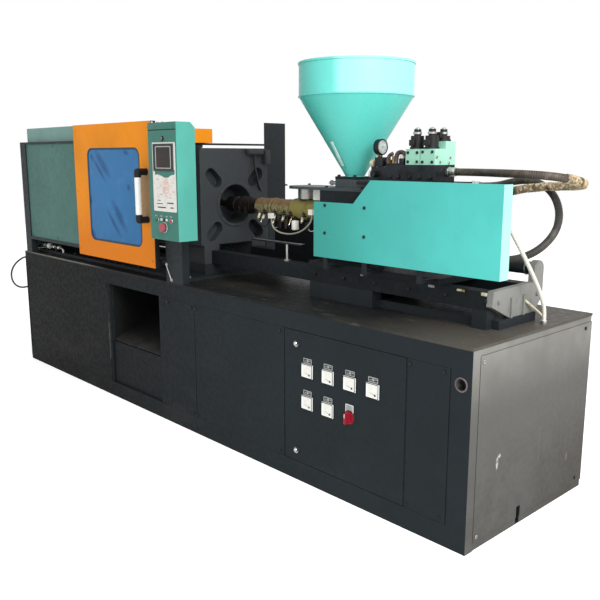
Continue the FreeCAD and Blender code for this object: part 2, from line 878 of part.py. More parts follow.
def cabinet_door():
    """Sheet door of the electrical cabinet, with its meters, main switch and two locks."""
    low = (cabinet_start + d.door_clearance, -half_width, cabinet_door_bottom)
    high = (cabinet_end - d.door_clearance, -half_width + d.door_depth,
            cabinet_door_bottom + d.cabinet_door_height)
    skin_back = -half_width + d.door_skin
    hollow = slab((low[0] + d.door_skin, skin_back, low[2] + d.door_skin),
                  (high[0] - d.door_skin, high[1] + 1, high[2] - d.door_skin))
    half_body = d.meter_body / 2
    holes = []
    meters = []
    for across, up in meter_centres():
        reach = half_body + d.meter_clearance
        holes.append(slab((across - reach, -half_width - 1, up - reach),
                          (across + reach, skin_back + 1, up + reach)))
        face = slab((across - d.meter_width / 2, -half_width - d.meter_face, up - d.meter_height / 2),
                    (across + d.meter_width / 2, -half_width, up + d.meter_height / 2))
        case = slab((across - half_body, -half_width, up - half_body),
                    (across + half_body, -half_width + d.meter_depth, up + half_body))
        meters.append(fuse(face, case))
    across, up = switch_centre()
    holes.append(rod("y", (across, -half_width - 1, up), skin_back + 1,
                     d.switch_shaft_radius + d.turning_clearance))
    locks = lock_centres()
    for lock_x, lock_z in locks:
        holes.append(rod("y", (lock_x, -half_width - 1, lock_z), skin_back + 1,
                         d.lock_radius / 2 + d.turning_clearance))
    keep("electrical_door", cut(slab(low, high), hollow, *holes))
    keep("panel_meters", group(*meters))

    disc_back = -half_width - d.turning_clearance
    disc = rod("y", (across, disc_back - 8, up), disc_back, d.switch_radius)
    handle = slab((across - 7, disc_back - d.switch_length, up - d.switch_radius + 4),
                  (across + 7, disc_back - 8, up + d.switch_radius - 4))
    shaft = rod("y", (across, disc_back, up), -half_width + 40, d.switch_shaft_radius)
    keep("main_switch", fuse(disc, handle, shaft))

    for name, (lock_x, lock_z) in zip(("upper_lock", "lower_lock"), locks):
        head = rod("y", (lock_x, disc_back - d.lock_head, lock_z), disc_back, d.lock_radius)
        cam_back = striker_back + d.cam_gap + d.cam_gauge
        stem = rod("y", (lock_x, disc_back, lock_z), cam_back, d.lock_radius / 2)
        cam = slab((lock_x - 7, striker_back + d.cam_gap, lock_z - d.cam_length),
                   (lock_x + 7, cam_back, lock_z))
        keep(name, fuse(head, stem, cam))


def base_contents():
    """Oil tank, pump set and switchgear inside the base."""
    tank_end = d.tank_start + d.tank_length
    tank_top = d.sill_height + d.tank_height
    tank = slab((d.tank_start, -d.tank_width / 2, d.sill_height), (tank_end, d.tank_width / 2, tank_top))
    filler = rod("z", (d.tank_start + 120, 0, tank_top), tank_top + 60, 45)
    keep("oil_tank", fuse(tank, filler))

    motor_end = d.motor_start + d.motor_length
    frame = rod("x", (d.motor_start, 0, d.motor_height), motor_end, d.motor_radius)
    foot = slab((d.motor_start + 5, -130, d.sill_height), (motor_end - 5, 130, d.motor_height - 100))
    terminals = slab((d.motor_start + 140, -60, d.motor_height + d.motor_radius - 15),
                     (d.motor_start + 260, 60, d.motor_height + d.motor_radius + 55))
    keep("pump_motor", fuse(frame, foot, terminals))
    flange = rod("x", (motor_end, 0, d.motor_height), motor_end + 40, d.pump_radius + 35)
    casing = rod("x", (motor_end + 40, 0, d.motor_height), motor_end + d.pump_length, d.pump_radius)
    keep("hydraulic_pump", fuse(flange, casing))

    front = -frame_back
    back = front + d.cabinet_depth
    left, right = cabinet_start - d.cabinet_post_lap, cabinet_end + d.frame_tube
    low, high = 130, 740
    pieces = [
        slab((left, front, low), (left + d.plate_gauge, back, high)),
        slab((right - d.plate_gauge, front, low), (right, back, high)),
        slab((left, back, low), (right, back + d.plate_gauge, high)),
    ]
    for row in range(2):
        for column in range(5):
            x = cabinet_start + d.contactor_margin + column * d.contactor_pitch
            z = d.contactor_level + row * d.contactor_rise
            pieces.append(slab((x, back - d.contactor_depth, z),
                               (x + d.contactor_width, back, z + d.contactor_height)))
    keep("contactor_plate", group(*pieces))


def clamp_bed():
    """Raised bed plate with the two ways that the platens' feet stand on."""
    half_opening = d.opening_width / 2
    start = -half_length + 60
    plate = slab((start, -d.clamp_bed_front, d.base_height),
                 (d.clamp_bed_end, d.clamp_bed_back, clamp_bed_top))
    opening = slab((d.opening_start, -half_opening, d.base_height - 1),
                   (opening_end, half_opening, clamp_bed_top + 1))
    ways = [slab((start + 50, low, clamp_bed_top), (d.fixed_platen_face, low + d.way_width, way_top))
            for low in (-way_outer, d.way_inner)]
    keep("clamp_bed", group(cut(plate, opening), *ways))


def platen_outline(foot):
    """A platen seen along the machine: its plate, two feet and the arch between them."""
    side = d.platen_width / 2
    arch = -d.platen_arch
    half = [(d.way_inner, arch), (d.way_inner, foot), (way_outer, foot), (way_outer, arch),
            (side, arch), (side, d.platen_top)]
    return half + [(-across, up) for across, up in reversed(half)]


def platen(thickness, foot_gap):
    """A cast platen, its frame at the bore's axis and its left face at x = 0."""
    body = new_body()
    sketch = sketch_on(body, "x")
    draw(sketch, platen_outline(way_top + foot_gap - d.axis_height))
    pad(body, sketch, thickness)
    outer = d.platen_width / 2
    limit = outer.value - 1
    return round_edges(body, "x", d.platen_corner,
                       lambda centre: abs(centre.y) > limit and centre.z > 0)


def bolt_holes(body, face, towards_positive):
    sketch = sketch_on(body, "x", face)
    for across in (-1, 1):
        for up in (-1, 1):
            draw_circle(sketch, across * d.bolt_spacing / 2, up * d.bolt_spacing / 2, d.bolt_radius)
    pocket(body, sketch, d.bolt_depth, towards_positive)


def tie_bar_bores(body, radius, depth):
    sketch = sketch_on(body, "x")
    for across in (-1, 1):
        for up in (-1, 1):
            draw_circle(sketch, across * d.tie_bar_y, up * d.tie_bar_z, radius)
    pocket(body, sketch, depth, True)


def central_bore(body, face, radius, depth, towards_positive):
    sketch = sketch_on(body, "x", face)
    draw_circle(sketch, 0, 0, radius)
    pocket(body, sketch, depth, towards_positive)


def draw_slot(sketch, start, end, radius):
    """A round ended slot on the sketch's first axis."""
    start, end, radius = sized(start), sized(end), sized(radius)
    first, last = V(start.value, 0, 0), V(end.value, 0, 0)
    up = V(0, radius.value, 0)
    circles = [Part.Circle(centre, V(0, 0, 1), radius.value) for centre in (first, last)]
    left = sketch.addGeometry(Part.ArcOfCircle(circles[0], math.pi / 2, 1.5 * math.pi))
    right = sketch.addGeometry(Part.ArcOfCircle(circles[1], -math.pi / 2, math.pi / 2))
    top = sketch.addGeometry(Part.LineSegment(first + up, last + up))
    bottom = sketch.addGeometry(Part.LineSegment(last - up, first - up))
    for joint in ((top, 1, left, 1), (left, 2, bottom, 2), (bottom, 1, right, 1), (right, 2, top, 2)):
        sketch.addConstraint(Sketcher.Constraint("Tangent", *joint))
    for arc, length in ((left, start), (right, end)):
        sketch.addConstraint(Sketcher.Constraint("PointOnObject", arc, 3, -1))
        tie = sketch.addConstraint(Sketcher.Constraint("DistanceX", -1, 1, arc, 3, length.value))
        sketch.setExpression(f"Constraints[{tie}]", length.text)
    tie = sketch.addConstraint(Sketcher.Constraint("Radius", left, radius.value))
    sketch.setExpression(f"Constraints[{tie}]", radius.text)


def fixed_platen():
    """Fixed platen: locating bore, nozzle well, tie bar seats and four slanting slots."""
    thickness = d.fixed_platen_thickness
    body = platen(thickness, 0)
    central_bore(body, thickness, d.nozzle_well_radius, d.nozzle_well_depth, False)
    central_bore(body, 0, d.sprue_radius, thickness, True)
    central_bore(body, 0, d.locating_radius, d.locating_depth, True)
    tie_bar_bores(body, d.tie_bar_radius + d.tie_bar_clearance, d.tie_bar_seat)
    bolt_holes(body, 0, True)
    slot = sketch_on(body, "x", thickness)
    slot.AttachmentOffset = FreeCAD.Placement(V(0, 0, 0), FreeCAD.Rotation(V(0, 0, 1), 45))
    bind(slot, "AttachmentOffset.Base.z", thickness)
    half = d.slot_width / 2
    draw_slot(slot, d.slot_inner + half, d.slot_outer - half, half)
    recess = pocket(body, slot, d.slot_depth, False)
    pattern = body.newObject("PartDesign::PolarPattern", "Slots")
    pattern.Originals = [recess]
    axis = next(item for item in body.Origin.OriginFeatures if item.Role == "X_Axis")
    pattern.Axis = (axis, [""])
    pattern.Angle = 360
    pattern.Occurrences = 4
    body.Tip = pattern
    keep("fixed_platen", place(body, mould_face, 0, d.axis_height))


def moving_platen():
    """Moving platen with its ejector housing, clamp ram and ejector rod."""
    thickness = d.moving_platen_thickness
    body = platen(thickness, d.slide_gap)
    tie_bar_bores(body, d.tie_bar_radius + d.tie_bar_slide, thickness)
    bolt_holes(body, thickness, False)
    place(body, moving_back, 0, d.axis_height)
    housing = rod("x", (moving_back - d.ejector_housing_length, 0, d.axis_height), moving_back,
                  d.ejector_housing_radius)
    rod_start = moving_face - d.ejector_length
    bore = rod("x", (rod_start, 0, d.axis_height), moving_face + 1,
               d.ejector_radius + d.turning_clearance)
    keep("moving_platen", cut(fuse(body, housing), bore))
    keep("ejector_rod", rod("x", (rod_start, 0, d.axis_height), moving_face, d.ejector_radius))
    ram_start = moving_back - d.ram_length
    ram = rod("x", (ram_start, 0, d.axis_height), moving_back, d.ram_radius)
    ram_bore = rod("x", (ram_start + 60, 0, d.axis_height), moving_back + 1, d.ram_bore)
    keep("clamp_ram", cut(ram, ram_bore))


def rear_platen():
    """Rear platen and the clamp cylinder bolted behind it."""
    thickness = d.rear_platen_thickness
    body = platen(thickness, 0)
    bore_radius = d.ram_radius + d.turning_clearance
    central_bore(body, 0, bore_radius, thickness, True)
    tie_bar_bores(body, d.tie_bar_radius + d.tie_bar_clearance, thickness)
    keep("rear_platen", place(body, rear_platen_back, 0, d.axis_height))
    start = moving_back - d.ram_length - d.cylinder_room - d.cylinder_end
    outer = rod("x", (start, 0, d.axis_height), rear_platen_back, d.ram_radius + d.cylinder_wall)
    bore = rod("x", (start + d.cylinder_end, 0, d.axis_height), rear_platen_back + 1, bore_radius)
    keep("clamp_cylinder", cut(outer, bore))


def tie_bars():
    """Four tie bars from their seats in the fixed platen to the nuts behind the rear platen."""
    pieces = []
    start = rear_platen_back - d.tie_nut_length
    for side in (-1, 1):
        for level in (-1, 1):
            y = side * d.tie_bar_y
            z = d.axis_height + level * d.tie_bar_z
            pieces.append(rod("x", (start, y, z), mould_face + d.tie_bar_seat, d.tie_bar_radius))
            pieces.append(tube("x", (start, y, z), rear_platen_back, d.tie_nut_radius,
                               d.tie_bar_radius + d.tie_bar_clearance))
    keep("tie_bars", group(*pieces))


def guard_frame():
    """Dark frame of the guards, with the rear column and the control box's post."""
    deck = d.base_height
    start, top = d.guard_post_start, d.guard_rail_top
    cross_top = d.guard_rail_bottom + d.cross_bar_height
    cross_bottom = cross_top - d.cross_bar_gauge
    middle_end = d.middle_post_start + d.middle_post_width
    column_end = d.rear_column_start + d.rear_column_width
    column_face = column_end - d.rear_column_gauge
    gauge = d.guard_panel_gauge
    rear_inside = guard_front - 8 - gauge
    members = []
    for low, high in ((-guard_front, -guard_back), (guard_back, guard_front)):
        members.append(slab((start, low, deck), (guard_inner_end, high, top)))
    members.append(slab((guard_inner_end, -guard_front, d.front_rail_bottom),
                        (d.control_post_start, -guard_back, top)))
    members.append(slab((guard_inner_end, guard_back, d.guard_rail_bottom), (middle_end, guard_front, top)))
    members.append(slab((middle_end, guard_back, d.rear_rail_bottom),
                        (column_face, guard_front, d.rear_rail_bottom + d.rear_rail_height)))
    members.append(slab((start, -guard_back, d.guard_rail_bottom), (guard_inner_end, guard_back, top)))
    members.append(slab((guard_inner_end, -guard_front, d.lower_rail_bottom),
                        (d.control_post_start, -guard_front + d.lower_rail_depth, d.lower_rail_top)))
    members.append(slab((d.middle_post_start, -guard_front, d.lower_rail_top),
                        (middle_end, -guard_back, d.front_rail_bottom)))
    members.append(slab((d.middle_post_start, guard_back, deck),
                        (middle_end, rear_inside, d.guard_rail_bottom)))
    members.append(slab((d.middle_post_start, -guard_back, cross_bottom),
                        (middle_end, guard_back, cross_top)))
    members.append(slab((d.cross_bar_start, -guard_front, cross_bottom),
                        (d.cross_bar_start + d.cross_bar_width, -guard_back, d.front_rail_bottom)))
    members.append(slab((d.cross_bar_start, -guard_back, cross_bottom),
                        (d.cross_bar_start + d.cross_bar_width, half_width - d.rear_column_depth, cross_top)))
    members.append(slab((column_face, half_width - d.rear_column_depth, deck),
                        (column_end, half_width, d.rear_column_top)))
    members.append(slab((d.rear_column_start, half_width - d.rear_column_gauge, deck),
                        (column_face, half_width, d.rear_rail_bottom)))
    members.append(slab((d.control_post_start, -guard_front, deck),
                        (control_post_end, -guard_back, top)))
    members.append(slab((d.box_start + 5, -box_back, d.box_bottom + 20),
                        (control_post_end - 5, -guard_front, d.box_top - 140)))
    keep("guard_frame", group(*members))

    panels = [
        slab((guard_inner_end, -guard_front + 8, d.lower_rail_top),
             (d.middle_post_start, -guard_front + 8 + gauge, d.front_rail_bottom)),
        slab((guard_inner_end, rear_inside, d.rear_panel_bottom),
             (middle_end, rear_inside + gauge, d.guard_rail_bottom)),
        slab((middle_end, rear_inside, d.rear_panel_bottom),
             (d.rear_column_start, rear_inside + gauge, d.rear_rail_bottom)),
        slab((start + 8, -guard_back, d.rear_panel_bottom),
             (start + 8 + gauge, guard_back, d.guard_rail_bottom)),
    ]
    keep("guard_panels", group(*panels))


def top_covers():
    """Sheet cover over the clamp and the orange guard over the mould space."""
    half = d.top_cover_width / 2
    gauge = d.cover_gauge
    low = (d.top_cover_start, -half, d.guard_rail_top)
    high = (d.door_start - 5, half, d.guard_rail_top + d.top_cover_height)
    hollow = slab((low[0] + gauge, -half + gauge, low[2] - 1),
                  (high[0] - gauge, half - gauge, high[2] - gauge))
    keep("top_cover", cut(slab(low, high), hollow))
    seat = d.guard_rail_bottom + d.cross_bar_height
    low = (d.door_start, -guard_back + 1, seat)
    high = (d.fixed_platen_face, d.top_guard_back, seat + d.top_guard_height)
    hollow = slab((low[0] + gauge, low[1] + gauge, seat - 1),
                  (high[0] - gauge, high[1] - gauge, high[2] - gauge))
    keep("top_guard", cut(slab(low, high), hollow))


def operator_door():
    """Sliding operator door: folded sheet with a rounded window, glide shoes and a handle."""
    pan = slab((d.door_start, -d.door_front, d.door_bottom), (door_end, -door_back, d.door_top))
    gauge = d.cover_gauge
    hollow = slab((d.door_start + gauge, -door_inner, d.door_bottom + gauge),
                  (door_end - gauge, -door_back + 1, d.door_top - gauge))
    left = d.door_start + d.window_left
    right = left + d.window_width
    low = d.door_bottom + d.window_bottom
    high = low + d.window_height
    window = profiled("y", rectangle(left, low, right, high), -d.door_front - 1, -door_inner + 1)
    round_edges(window, "y", d.window_corner)
    shoes = []
    for start in (d.door_start + 70, door_end - 70 - d.shoe_length):
        hang = slab((start, -door_inner, d.guard_rail_top - d.shoe_height),
                    (start + d.shoe_length, -guard_front - d.slide_gap, d.guard_rail_top + d.shoe_lip))
        lip = slab((start, -door_back, d.guard_rail_top + d.slide_gap),
                   (start + d.shoe_length, -guard_front + 30, d.guard_rail_top + d.shoe_lip))
        shoes.append(fuse(hang, lip))
        shoes.append(slab((start, -door_inner, d.lower_rail_bottom),
                          (start + d.shoe_length, -guard_front - d.slide_gap, d.lower_rail_top)))
    keep("operator_door", group(cut(pan, hollow, window), *shoes))

    edge = d.window_overlap
    pane = profiled("y", rectangle(left - edge, low - edge, right + edge, high + edge),
                    -door_inner, -door_inner + d.window_gauge)
    keep("door_window", round_edges(pane, "y", d.window_corner))

    x = door_end - d.handle_inset
    y = -d.door_front - d.handle_reach
    grip = rod("z", (x, y, d.grip_bottom), d.grip_top, d.handle_radius)
    pieces = [grip]
    for face, side in ((d.grip_bottom, -1), (d.grip_top, 1)):
        level = face + side * d.elbow_drop
        arm = rod("y", (x, y, level), -d.door_front, d.elbow_radius)
        turn = doc.addObject("Part::Sphere", "Turn")
        bind(turn, "Radius", d.elbow_radius)
        place(turn, x, y, level)
        low_end, high_end = (level, face) if side < 0 else (face, level)
        pieces.append(fuse(arm, turn, rod("z", (x, y, low_end), high_end, d.elbow_radius)))
    keep("door_handle", group(*pieces))


def control_box():
    """Operator's control box with its screen, emergency stop and two push buttons."""
    front, back = -d.box_front, -box_back
    outline = [(front, d.box_bottom), (back, d.box_bottom), (back, d.box_top - d.box_chamfer),
               (back - d.box_chamfer, d.box_top), (front, d.box_top)]
    shell = profiled("x", outline, d.box_start, d.box_start + d.box_width)
    bore_end = front + d.button_bore_depth
    controls = [
        ("emergency_button", d.stop_x, d.stop_z, d.stop_stem_radius),
        ("start_button", d.button_left_x, d.button_z, d.button_radius),
        ("stop_button", d.button_right_x, d.button_z, d.button_radius),
    ]
    bores = [rod("y", (x, front - 1, z), bore_end, radius + d.turning_clearance)
             for _, x, z, radius in controls]
    keep("control_box", cut(shell, *bores))
    screen_start = d.box_start + d.screen_inset
    keep("control_screen", slab((screen_start, front - d.screen_proud, d.screen_bottom),
                                (screen_start + d.screen_width, front, d.screen_bottom + d.screen_height)))
    for name, x, z, radius in controls:
        stem = rod("y", (x, front - d.button_proud, z), front + d.button_stem, radius)
        if name == "emergency_button":
            head = rod("y", (x, front - d.button_proud - 12, z), front - d.button_proud,
                       d.stop_head_radius)
            stem = fuse(head, stem)
        keep(name, stem)


def injection_bed():
    """Raised bed, the feet on it, the carriage's two beams and the lead duct on the rear one."""
    half = d.bed_width / 2
    pieces = [slab((d.bed_start, -half, d.base_height), (d.bed_end, half, bed_top))]
    foot_spans = ((d.bed_start, d.bed_start + d.front_foot_length),
                  (d.beam_end - d.rear_foot_length, d.beam_end))
    for start, end in foot_spans:
        for side in (-1, 1):
            inner, seat, outer = side * d.beam_inner, side * half, side * beam_outer
            for first, second, level in ((inner, seat, bed_top), (seat, outer, d.base_height)):
                low, high = (second, first) if side < 0 else (first, second)
                pieces.append(slab((start, low, level), (end, high, d.beam_bottom)))
    keep("injection_bed", group(*pieces))
    beams = [slab((d.fixed_platen_face, low, d.beam_bottom), (d.beam_end, low + d.beam_width, beam_top))
             for low in (-beam_outer, d.beam_inner)]
    duct_front = (d.beam_inner + beam_outer - d.duct_width) / 2
    duct_back, duct_end = duct_front + d.duct_width, d.duct_start + d.duct_length
    duct = slab((d.duct_start, duct_front, beam_top), (duct_end, duct_back, beam_top + d.duct_height))
    wall = d.duct_gauge
    hollow = slab((d.duct_start - 1, duct_front + wall, beam_top + wall),
                  (duct_end + 1, duct_back - wall, beam_top + d.duct_height + 1))
    keep("injection_beams", group(*beams, cut(duct, hollow)))
    rail_level = beam_top + d.switch_rail_rise
    post = rod("z", (d.switch_rail_post, d.switch_rail_y, beam_top), rail_level, 8)
    foot = rod("z", (d.switch_rail_post, d.switch_rail_y, beam_top), beam_top + 8, 20)
    half_rail = d.switch_rail_width / 2
    bar = slab((d.switch_rail_start, d.switch_rail_y - half_rail, rail_level),
               (d.switch_rail_end, d.switch_rail_y + half_rail, rail_level + d.switch_rail_gauge))
    keep("switch_rail", fuse(post, foot, bar))


def rear_bracket():
    """Grey cast bracket at the end of the bed, and the carriage cylinder on its lug."""
    start, end = d.beam_end, d.beam_end + d.bracket_thickness
    lug_inner, lug_outer = d.cylinder_y - d.lug_radius, d.cylinder_y + d.lug_radius
    outline = [
        (d.bracket_lean - d.bracket_reach, d.bracket_top), (-d.bracket_reach, d.bracket_shoulder),
        (-d.bracket_foot_front, bed_top), (d.bracket_foot_back, bed_top), (lug_outer, d.bracket_shoulder),
        (lug_outer, d.lug_seat), (lug_inner, d.lug_seat), (lug_inner, d.bracket_saddle),
    ]
    plate = profiled("x", outline, start, end)
    axis = (d.cylinder_y, d.cylinder_z)
    lug = rod("x", (start, *axis), end, d.lug_radius)
    ribs = [slab((end, y - d.bracket_rib / 2, bed_top),
                 (d.bed_end, y + d.bracket_rib / 2, bed_top + d.bracket_rib_height)) for y in (-50, 50)]
    keep("rear_bracket", fuse(plate, lug, *ribs))
    cylinder_start = start - d.small_cylinder_length
    body = rod("x", (cylinder_start, *axis), start, d.small_cylinder_radius)
    bore = rod("x", (cylinder_start - 1, *axis), start - 20, d.small_rod_radius + d.rod_clearance)
    keep("carriage_cylinder", cut(body, bore))


def carriage():
    """Carriage plate with the brackets welded on it, and the rod that moves it."""
    top = carriage_top
    pieces = [
        slab((d.carriage_start, -d.carriage_front, carriage_bottom), (carriage_end, d.carriage_back, top)),
        slab((d.hose_plate_start, d.hose_plate_inner, top),
             (d.hose_plate_start + d.hose_plate_gauge, d.carriage_back, d.hose_plate_top)),
        slab((d.port_plate_start, d.port_plate_left, top),
             (d.port_plate_start + d.port_plate_gauge, d.port_plate_right, d.port_plate_top)),
        slab((d.table_start, -d.table_half_width, table_top - d.table_gauge),
             (d.table_start + d.table_length, d.table_half_width, table_top)),
    ]
    for low in (-d.table_half_width, d.table_half_width - d.table_leg_gauge):
        pieces.append(slab((d.table_leg_start, low, top),
                           (d.table_leg_start + d.table_leg_length, low + d.table_leg_gauge,
                            table_top - d.table_gauge)))
    cover_back = -d.cover_y + d.cover_sheet
    for middle in (d.cover_hole_left, d.cover_hole_right, d.cover_strap):
        start, end = middle - d.strap_width / 2, middle + d.strap_width / 2
        pieces.append(slab((start, cover_back, carriage_bottom + 15), (end, -d.carriage_front, top)))
        pieces.append(slab((start, cover_back, top), (end, cover_back + d.strap_gauge, d.cover_low_top - 20)))
    lug_end = d.rod_lug_start + d.rod_lug_length
    pieces.append(slab((d.rod_lug_start, d.cylinder_y - 30, top), (lug_end, d.cylinder_y + 30,
                                                                   d.cylinder_z + 30)))
    rod_end = d.beam_end - d.small_cylinder_length + 20
    pieces.append(rod("x", (lug_end, d.cylinder_y, d.cylinder_z), rod_end, d.small_rod_radius))
    keep("carriage", group(*pieces))


def feed_block():
    """Cast feed block that holds the barrel's rear end under the hopper."""
    low = (d.feed_start, -d.feed_half_width, carriage_top)
    high = (feed_end, d.feed_half_width, d.feed_top)
    barrel_bore = rod("x", (d.feed_start - 1, 0, d.axis_height), feed_end + 1,
                      d.barrel_radius + d.barrel_clearance)
    throat = rod("z", (d.hopper_x, 0, d.axis_height), d.feed_top + 1, d.throat_radius)
    keep("feed_block", cut(slab(low, high), barrel_bore, throat))


def barrel():
    """Barrel with its end cap and nozzle, and the heater bands round it."""
    tip = d.barrel_front - d.barrel_cap_length - d.nozzle_length
    cap_start = d.barrel_front - d.barrel_cap_length
    outline = [
        (tip, 0), (tip, d.nozzle_tip_radius), (tip + 10, d.nozzle_radius),
        (cap_start - 45, d.nozzle_radius), (cap_start - 35, d.nozzle_body_radius),
        (cap_start, d.nozzle_body_radius), (cap_start, d.barrel_cap_radius),
        (d.barrel_front, d.barrel_cap_radius), (d.barrel_front, d.barrel_radius),
        (feed_end, d.barrel_radius), (feed_end, 0),
    ]
    body = place(revolved("x", outline), 0, 0, d.axis_height)
    bore = rod("x", (cap_start + 20, 0, d.axis_height), feed_end + 1,
               d.screw_radius + d.screw_clearance)
    feed_hole = rod("z", (d.hopper_x, 0, d.axis_height), d.axis_height + d.barrel_radius + 1,
                    d.throat_radius / 2)
    keep("barrel", cut(body, bore, feed_hole))

    bore_radius = d.barrel_radius + d.barrel_clearance
    outer = d.barrel_radius + d.band_thickness
    spans = [(d.barrel_front + 40, d.barrel_front + 150),
             (d.band_start, d.band_start + d.band_first_width)]
    start = d.band_start + d.band_first_width + d.band_gap
    for _ in range(2):
        spans.append((start, start + d.band_width))
        start = start + d.band_width + 6
    bands = [tube("x", (low, 0, d.axis_height), high, outer, bore_radius) for low, high in spans]
    cover_end = d.heater_cover_start + d.heater_cover_length
    bands.append(tube("x", (d.heater_cover_start, 0, d.axis_height), cover_end,
                      d.heater_cover_radius, bore_radius))
    side = d.terminal_size
    first, last = HEATER_LEAD[0], HEATER_LEAD[-1]
    for x, level in ((first[0], sized(first[2])), (last[0], sized(last[2]))):
        front = d.terminal_front
        bands.append(slab((x - side / 2, front, level), (x + side / 2, front + side, level + side)))
    keep("heater_bands", group(*bands))

    length = d.drive_plate_start + 40
    front = cap_start + 25
    screw = [(front, 0), (front + 30, d.screw_root_radius), (front + 45, d.screw_root_radius),
             (front + 45, d.screw_radius), (feed_end, d.screw_radius), (feed_end, d.shank_radius),
             (length, d.shank_radius), (length, 0)]
    keep("screw", place(revolved("x", screw), 0, 0, d.axis_height))


def injection_drive():
    """Injection cylinders, and the drive plate with its rods and hydraulic motor."""
    end = feed_end + d.injection_cylinder_length
    rod_start = d.drive_plate_start - d.injection_rod_length
    cylinders = []
    moving = []
    shank_bore = rod("x", (d.drive_plate_start - 1, 0, d.axis_height), d.drive_plate_start + 41,
                     d.shank_radius + d.turning_clearance)
    plate_end = d.drive_plate_start + d.drive_plate_thickness
    plate = slab((d.drive_plate_start, -d.drive_plate_half_width, d.axis_height - d.drive_plate_half_height),
                 (plate_end, d.drive_plate_half_width, d.axis_height + d.drive_plate_half_height))
    moving.append(cut(plate, shank_bore))
    for side in (-1, 1):
        y = side * d.injection_cylinder_y
        outer = rod("x", (feed_end, y, d.axis_height), end, d.injection_cylinder_radius)
        bore = rod("x", (rod_start - 10, y, d.axis_height), end + 1,
                   d.injection_rod_radius + d.rod_clearance)
        cylinders.append(cut(outer, bore))
        moving.append(rod("x", (rod_start, y, d.axis_height), d.drive_plate_start,
                          d.injection_rod_radius))
    moving.append(rod("x", (plate_end, 0, d.axis_height), plate_end + d.screw_motor_length,
                      d.screw_motor_radius))
    keep("injection_cylinders", group(*cylinders))
    keep("drive_plate", group(*moving))


def hopper():
    """Hopper of rolled sheet, the plate and gate housing under it and the gate's blade."""
    half = d.feed_half_width
    centre = d.hopper_plate_start + half
    plate = slab((centre, -half, d.feed_top), (d.hopper_plate_end, half, hopper_plate_top))
    tip = rod("z", (centre, 0, d.feed_top), hopper_plate_top, half)
    throat = rod("z", (d.hopper_x, 0, d.feed_top - 1), gate_top + 1, d.throat_radius)
    plate_hole = rod("z", (d.hopper_x, 0, d.feed_top - 1), gate_top + 1, d.throat_radius)
    gate_start, gate_end = d.hopper_x - d.gate_length / 2, d.hopper_x + d.gate_length / 2
    housing = slab((gate_start, -d.gate_half_width, hopper_plate_top), (gate_end, d.gate_half_width, gate_top))
    level = hopper_plate_top + d.blade_level
    blade_end = gate_end - 6
    blade_channel = slab((gate_start - 1, -d.blade_half_width - d.slide_gap, level - d.slide_gap),
                         (blade_end + d.slide_gap, d.blade_half_width + d.slide_gap,
                          level + d.blade_gauge + d.slide_gap))
    post_start = d.axis_height + d.heater_cover_radius + 2
    post = rod("z", (d.support_post_x, 0, post_start), d.feed_top, d.support_post_radius)
    box = slab((d.terminal_box_start, -60, d.axis_height + d.heater_cover_radius + 2),
               (d.terminal_box_start + d.terminal_box_length, 0, d.feed_top))
    keep("hopper_plate", group(cut(fuse(plate, tip), plate_hole), cut(housing, throat, blade_channel),
                               post, box))
    blade_start = gate_start - d.blade_stick_out
    blade = slab((blade_start, -d.blade_half_width, level), (blade_end, d.blade_half_width,
                                                            level + d.blade_gauge))
    grip = slab((blade_start - 8, -30, level - 8), (blade_start, 30, level + d.blade_gauge + 8))
    keep("slide_gate", fuse(blade, grip))

    wall = d.hopper_wall
    neck_top = gate_top + d.hopper_neck_height
    radius, neck = d.hopper_radius, d.hopper_neck_radius
    outline = [
        (gate_top, neck - wall), (gate_top, d.gate_half_width - 3), (gate_top + 5, d.gate_half_width - 3),
        (gate_top + 5, neck), (neck_top, neck), (d.hopper_seam, radius), (d.hopper_rim - 10, radius),
        (d.hopper_rim - 10, radius + d.hopper_lip), (d.hopper_rim, radius + d.hopper_lip),
        (d.hopper_rim, radius - wall), (d.hopper_seam, radius - wall), (neck_top, neck - wall),
    ]
    keep("hopper", place(revolved("z", outline), d.hopper_x, 0, 0))


def valve_stack():
    """Manifold block with its valves, solenoid coils and the pressure gauge."""
    front, back = -d.manifold_front, d.manifold_back
    keep("manifold", slab((d.manifold_start, front, table_top), (d.manifold_end, back, manifold_top)))
    valve_top = manifold_top + d.valve_height
    split = (front + back) / 2
    middle = (d.valve_start + d.manifold_end) / 2
    gap = d.valve_gap / 2
    blocks = []
    for x_low, x_high in ((d.valve_start, middle - gap), (middle + gap, d.manifold_end)):
        blocks.append(slab((x_low, front, manifold_top), (x_high, back, valve_top)))
    blocks.append(slab((middle + gap, split + gap, valve_top),
                       (d.manifold_end, back, valve_top + d.upper_valve_height)))
    keep("valve_bodies", group(*blocks))
    left, right = (d.valve_start + middle) / 2, (middle + d.manifold_end) / 2
    front_row, back_row = front + 32, back - 38
    upper = valve_top + d.upper_valve_height
    seats = ((left, front_row, valve_top), (right, front_row, valve_top), (right, back_row, upper))
    coils = []
    for x, y, seat in seats:
        top = valve_top + d.solenoid_height
        coil = rod("z", (x, y, seat), top, d.solenoid_radius)
        cap = rod("z", (x, y, top), top + d.solenoid_cap_height, d.solenoid_cap_radius)
        coils.append(fuse(coil, cap))
    keep("solenoids", group(*coils))

    case = rod("x", (d.gauge_x - d.gauge_depth / 2, d.gauge_y, d.gauge_z), d.gauge_x + d.gauge_depth / 2,
               d.gauge_radius)
    stem = rod("z", (d.gauge_x, d.gauge_y, table_top), d.gauge_z, d.gauge_stem_radius)
    reach = d.gauge_block / 2
    block = slab((d.gauge_x - reach, d.gauge_y - reach, table_top),
                 (d.manifold_start, d.gauge_y + reach, table_top + d.gauge_block_height))
    port = rod("y", (d.gauge_x, d.gauge_y - reach - 25, table_top + d.gauge_block_height / 2),
               d.gauge_y - reach, d.gauge_stem_radius + 4)
    keep("pressure_gauge", fuse(case, stem, block, port))


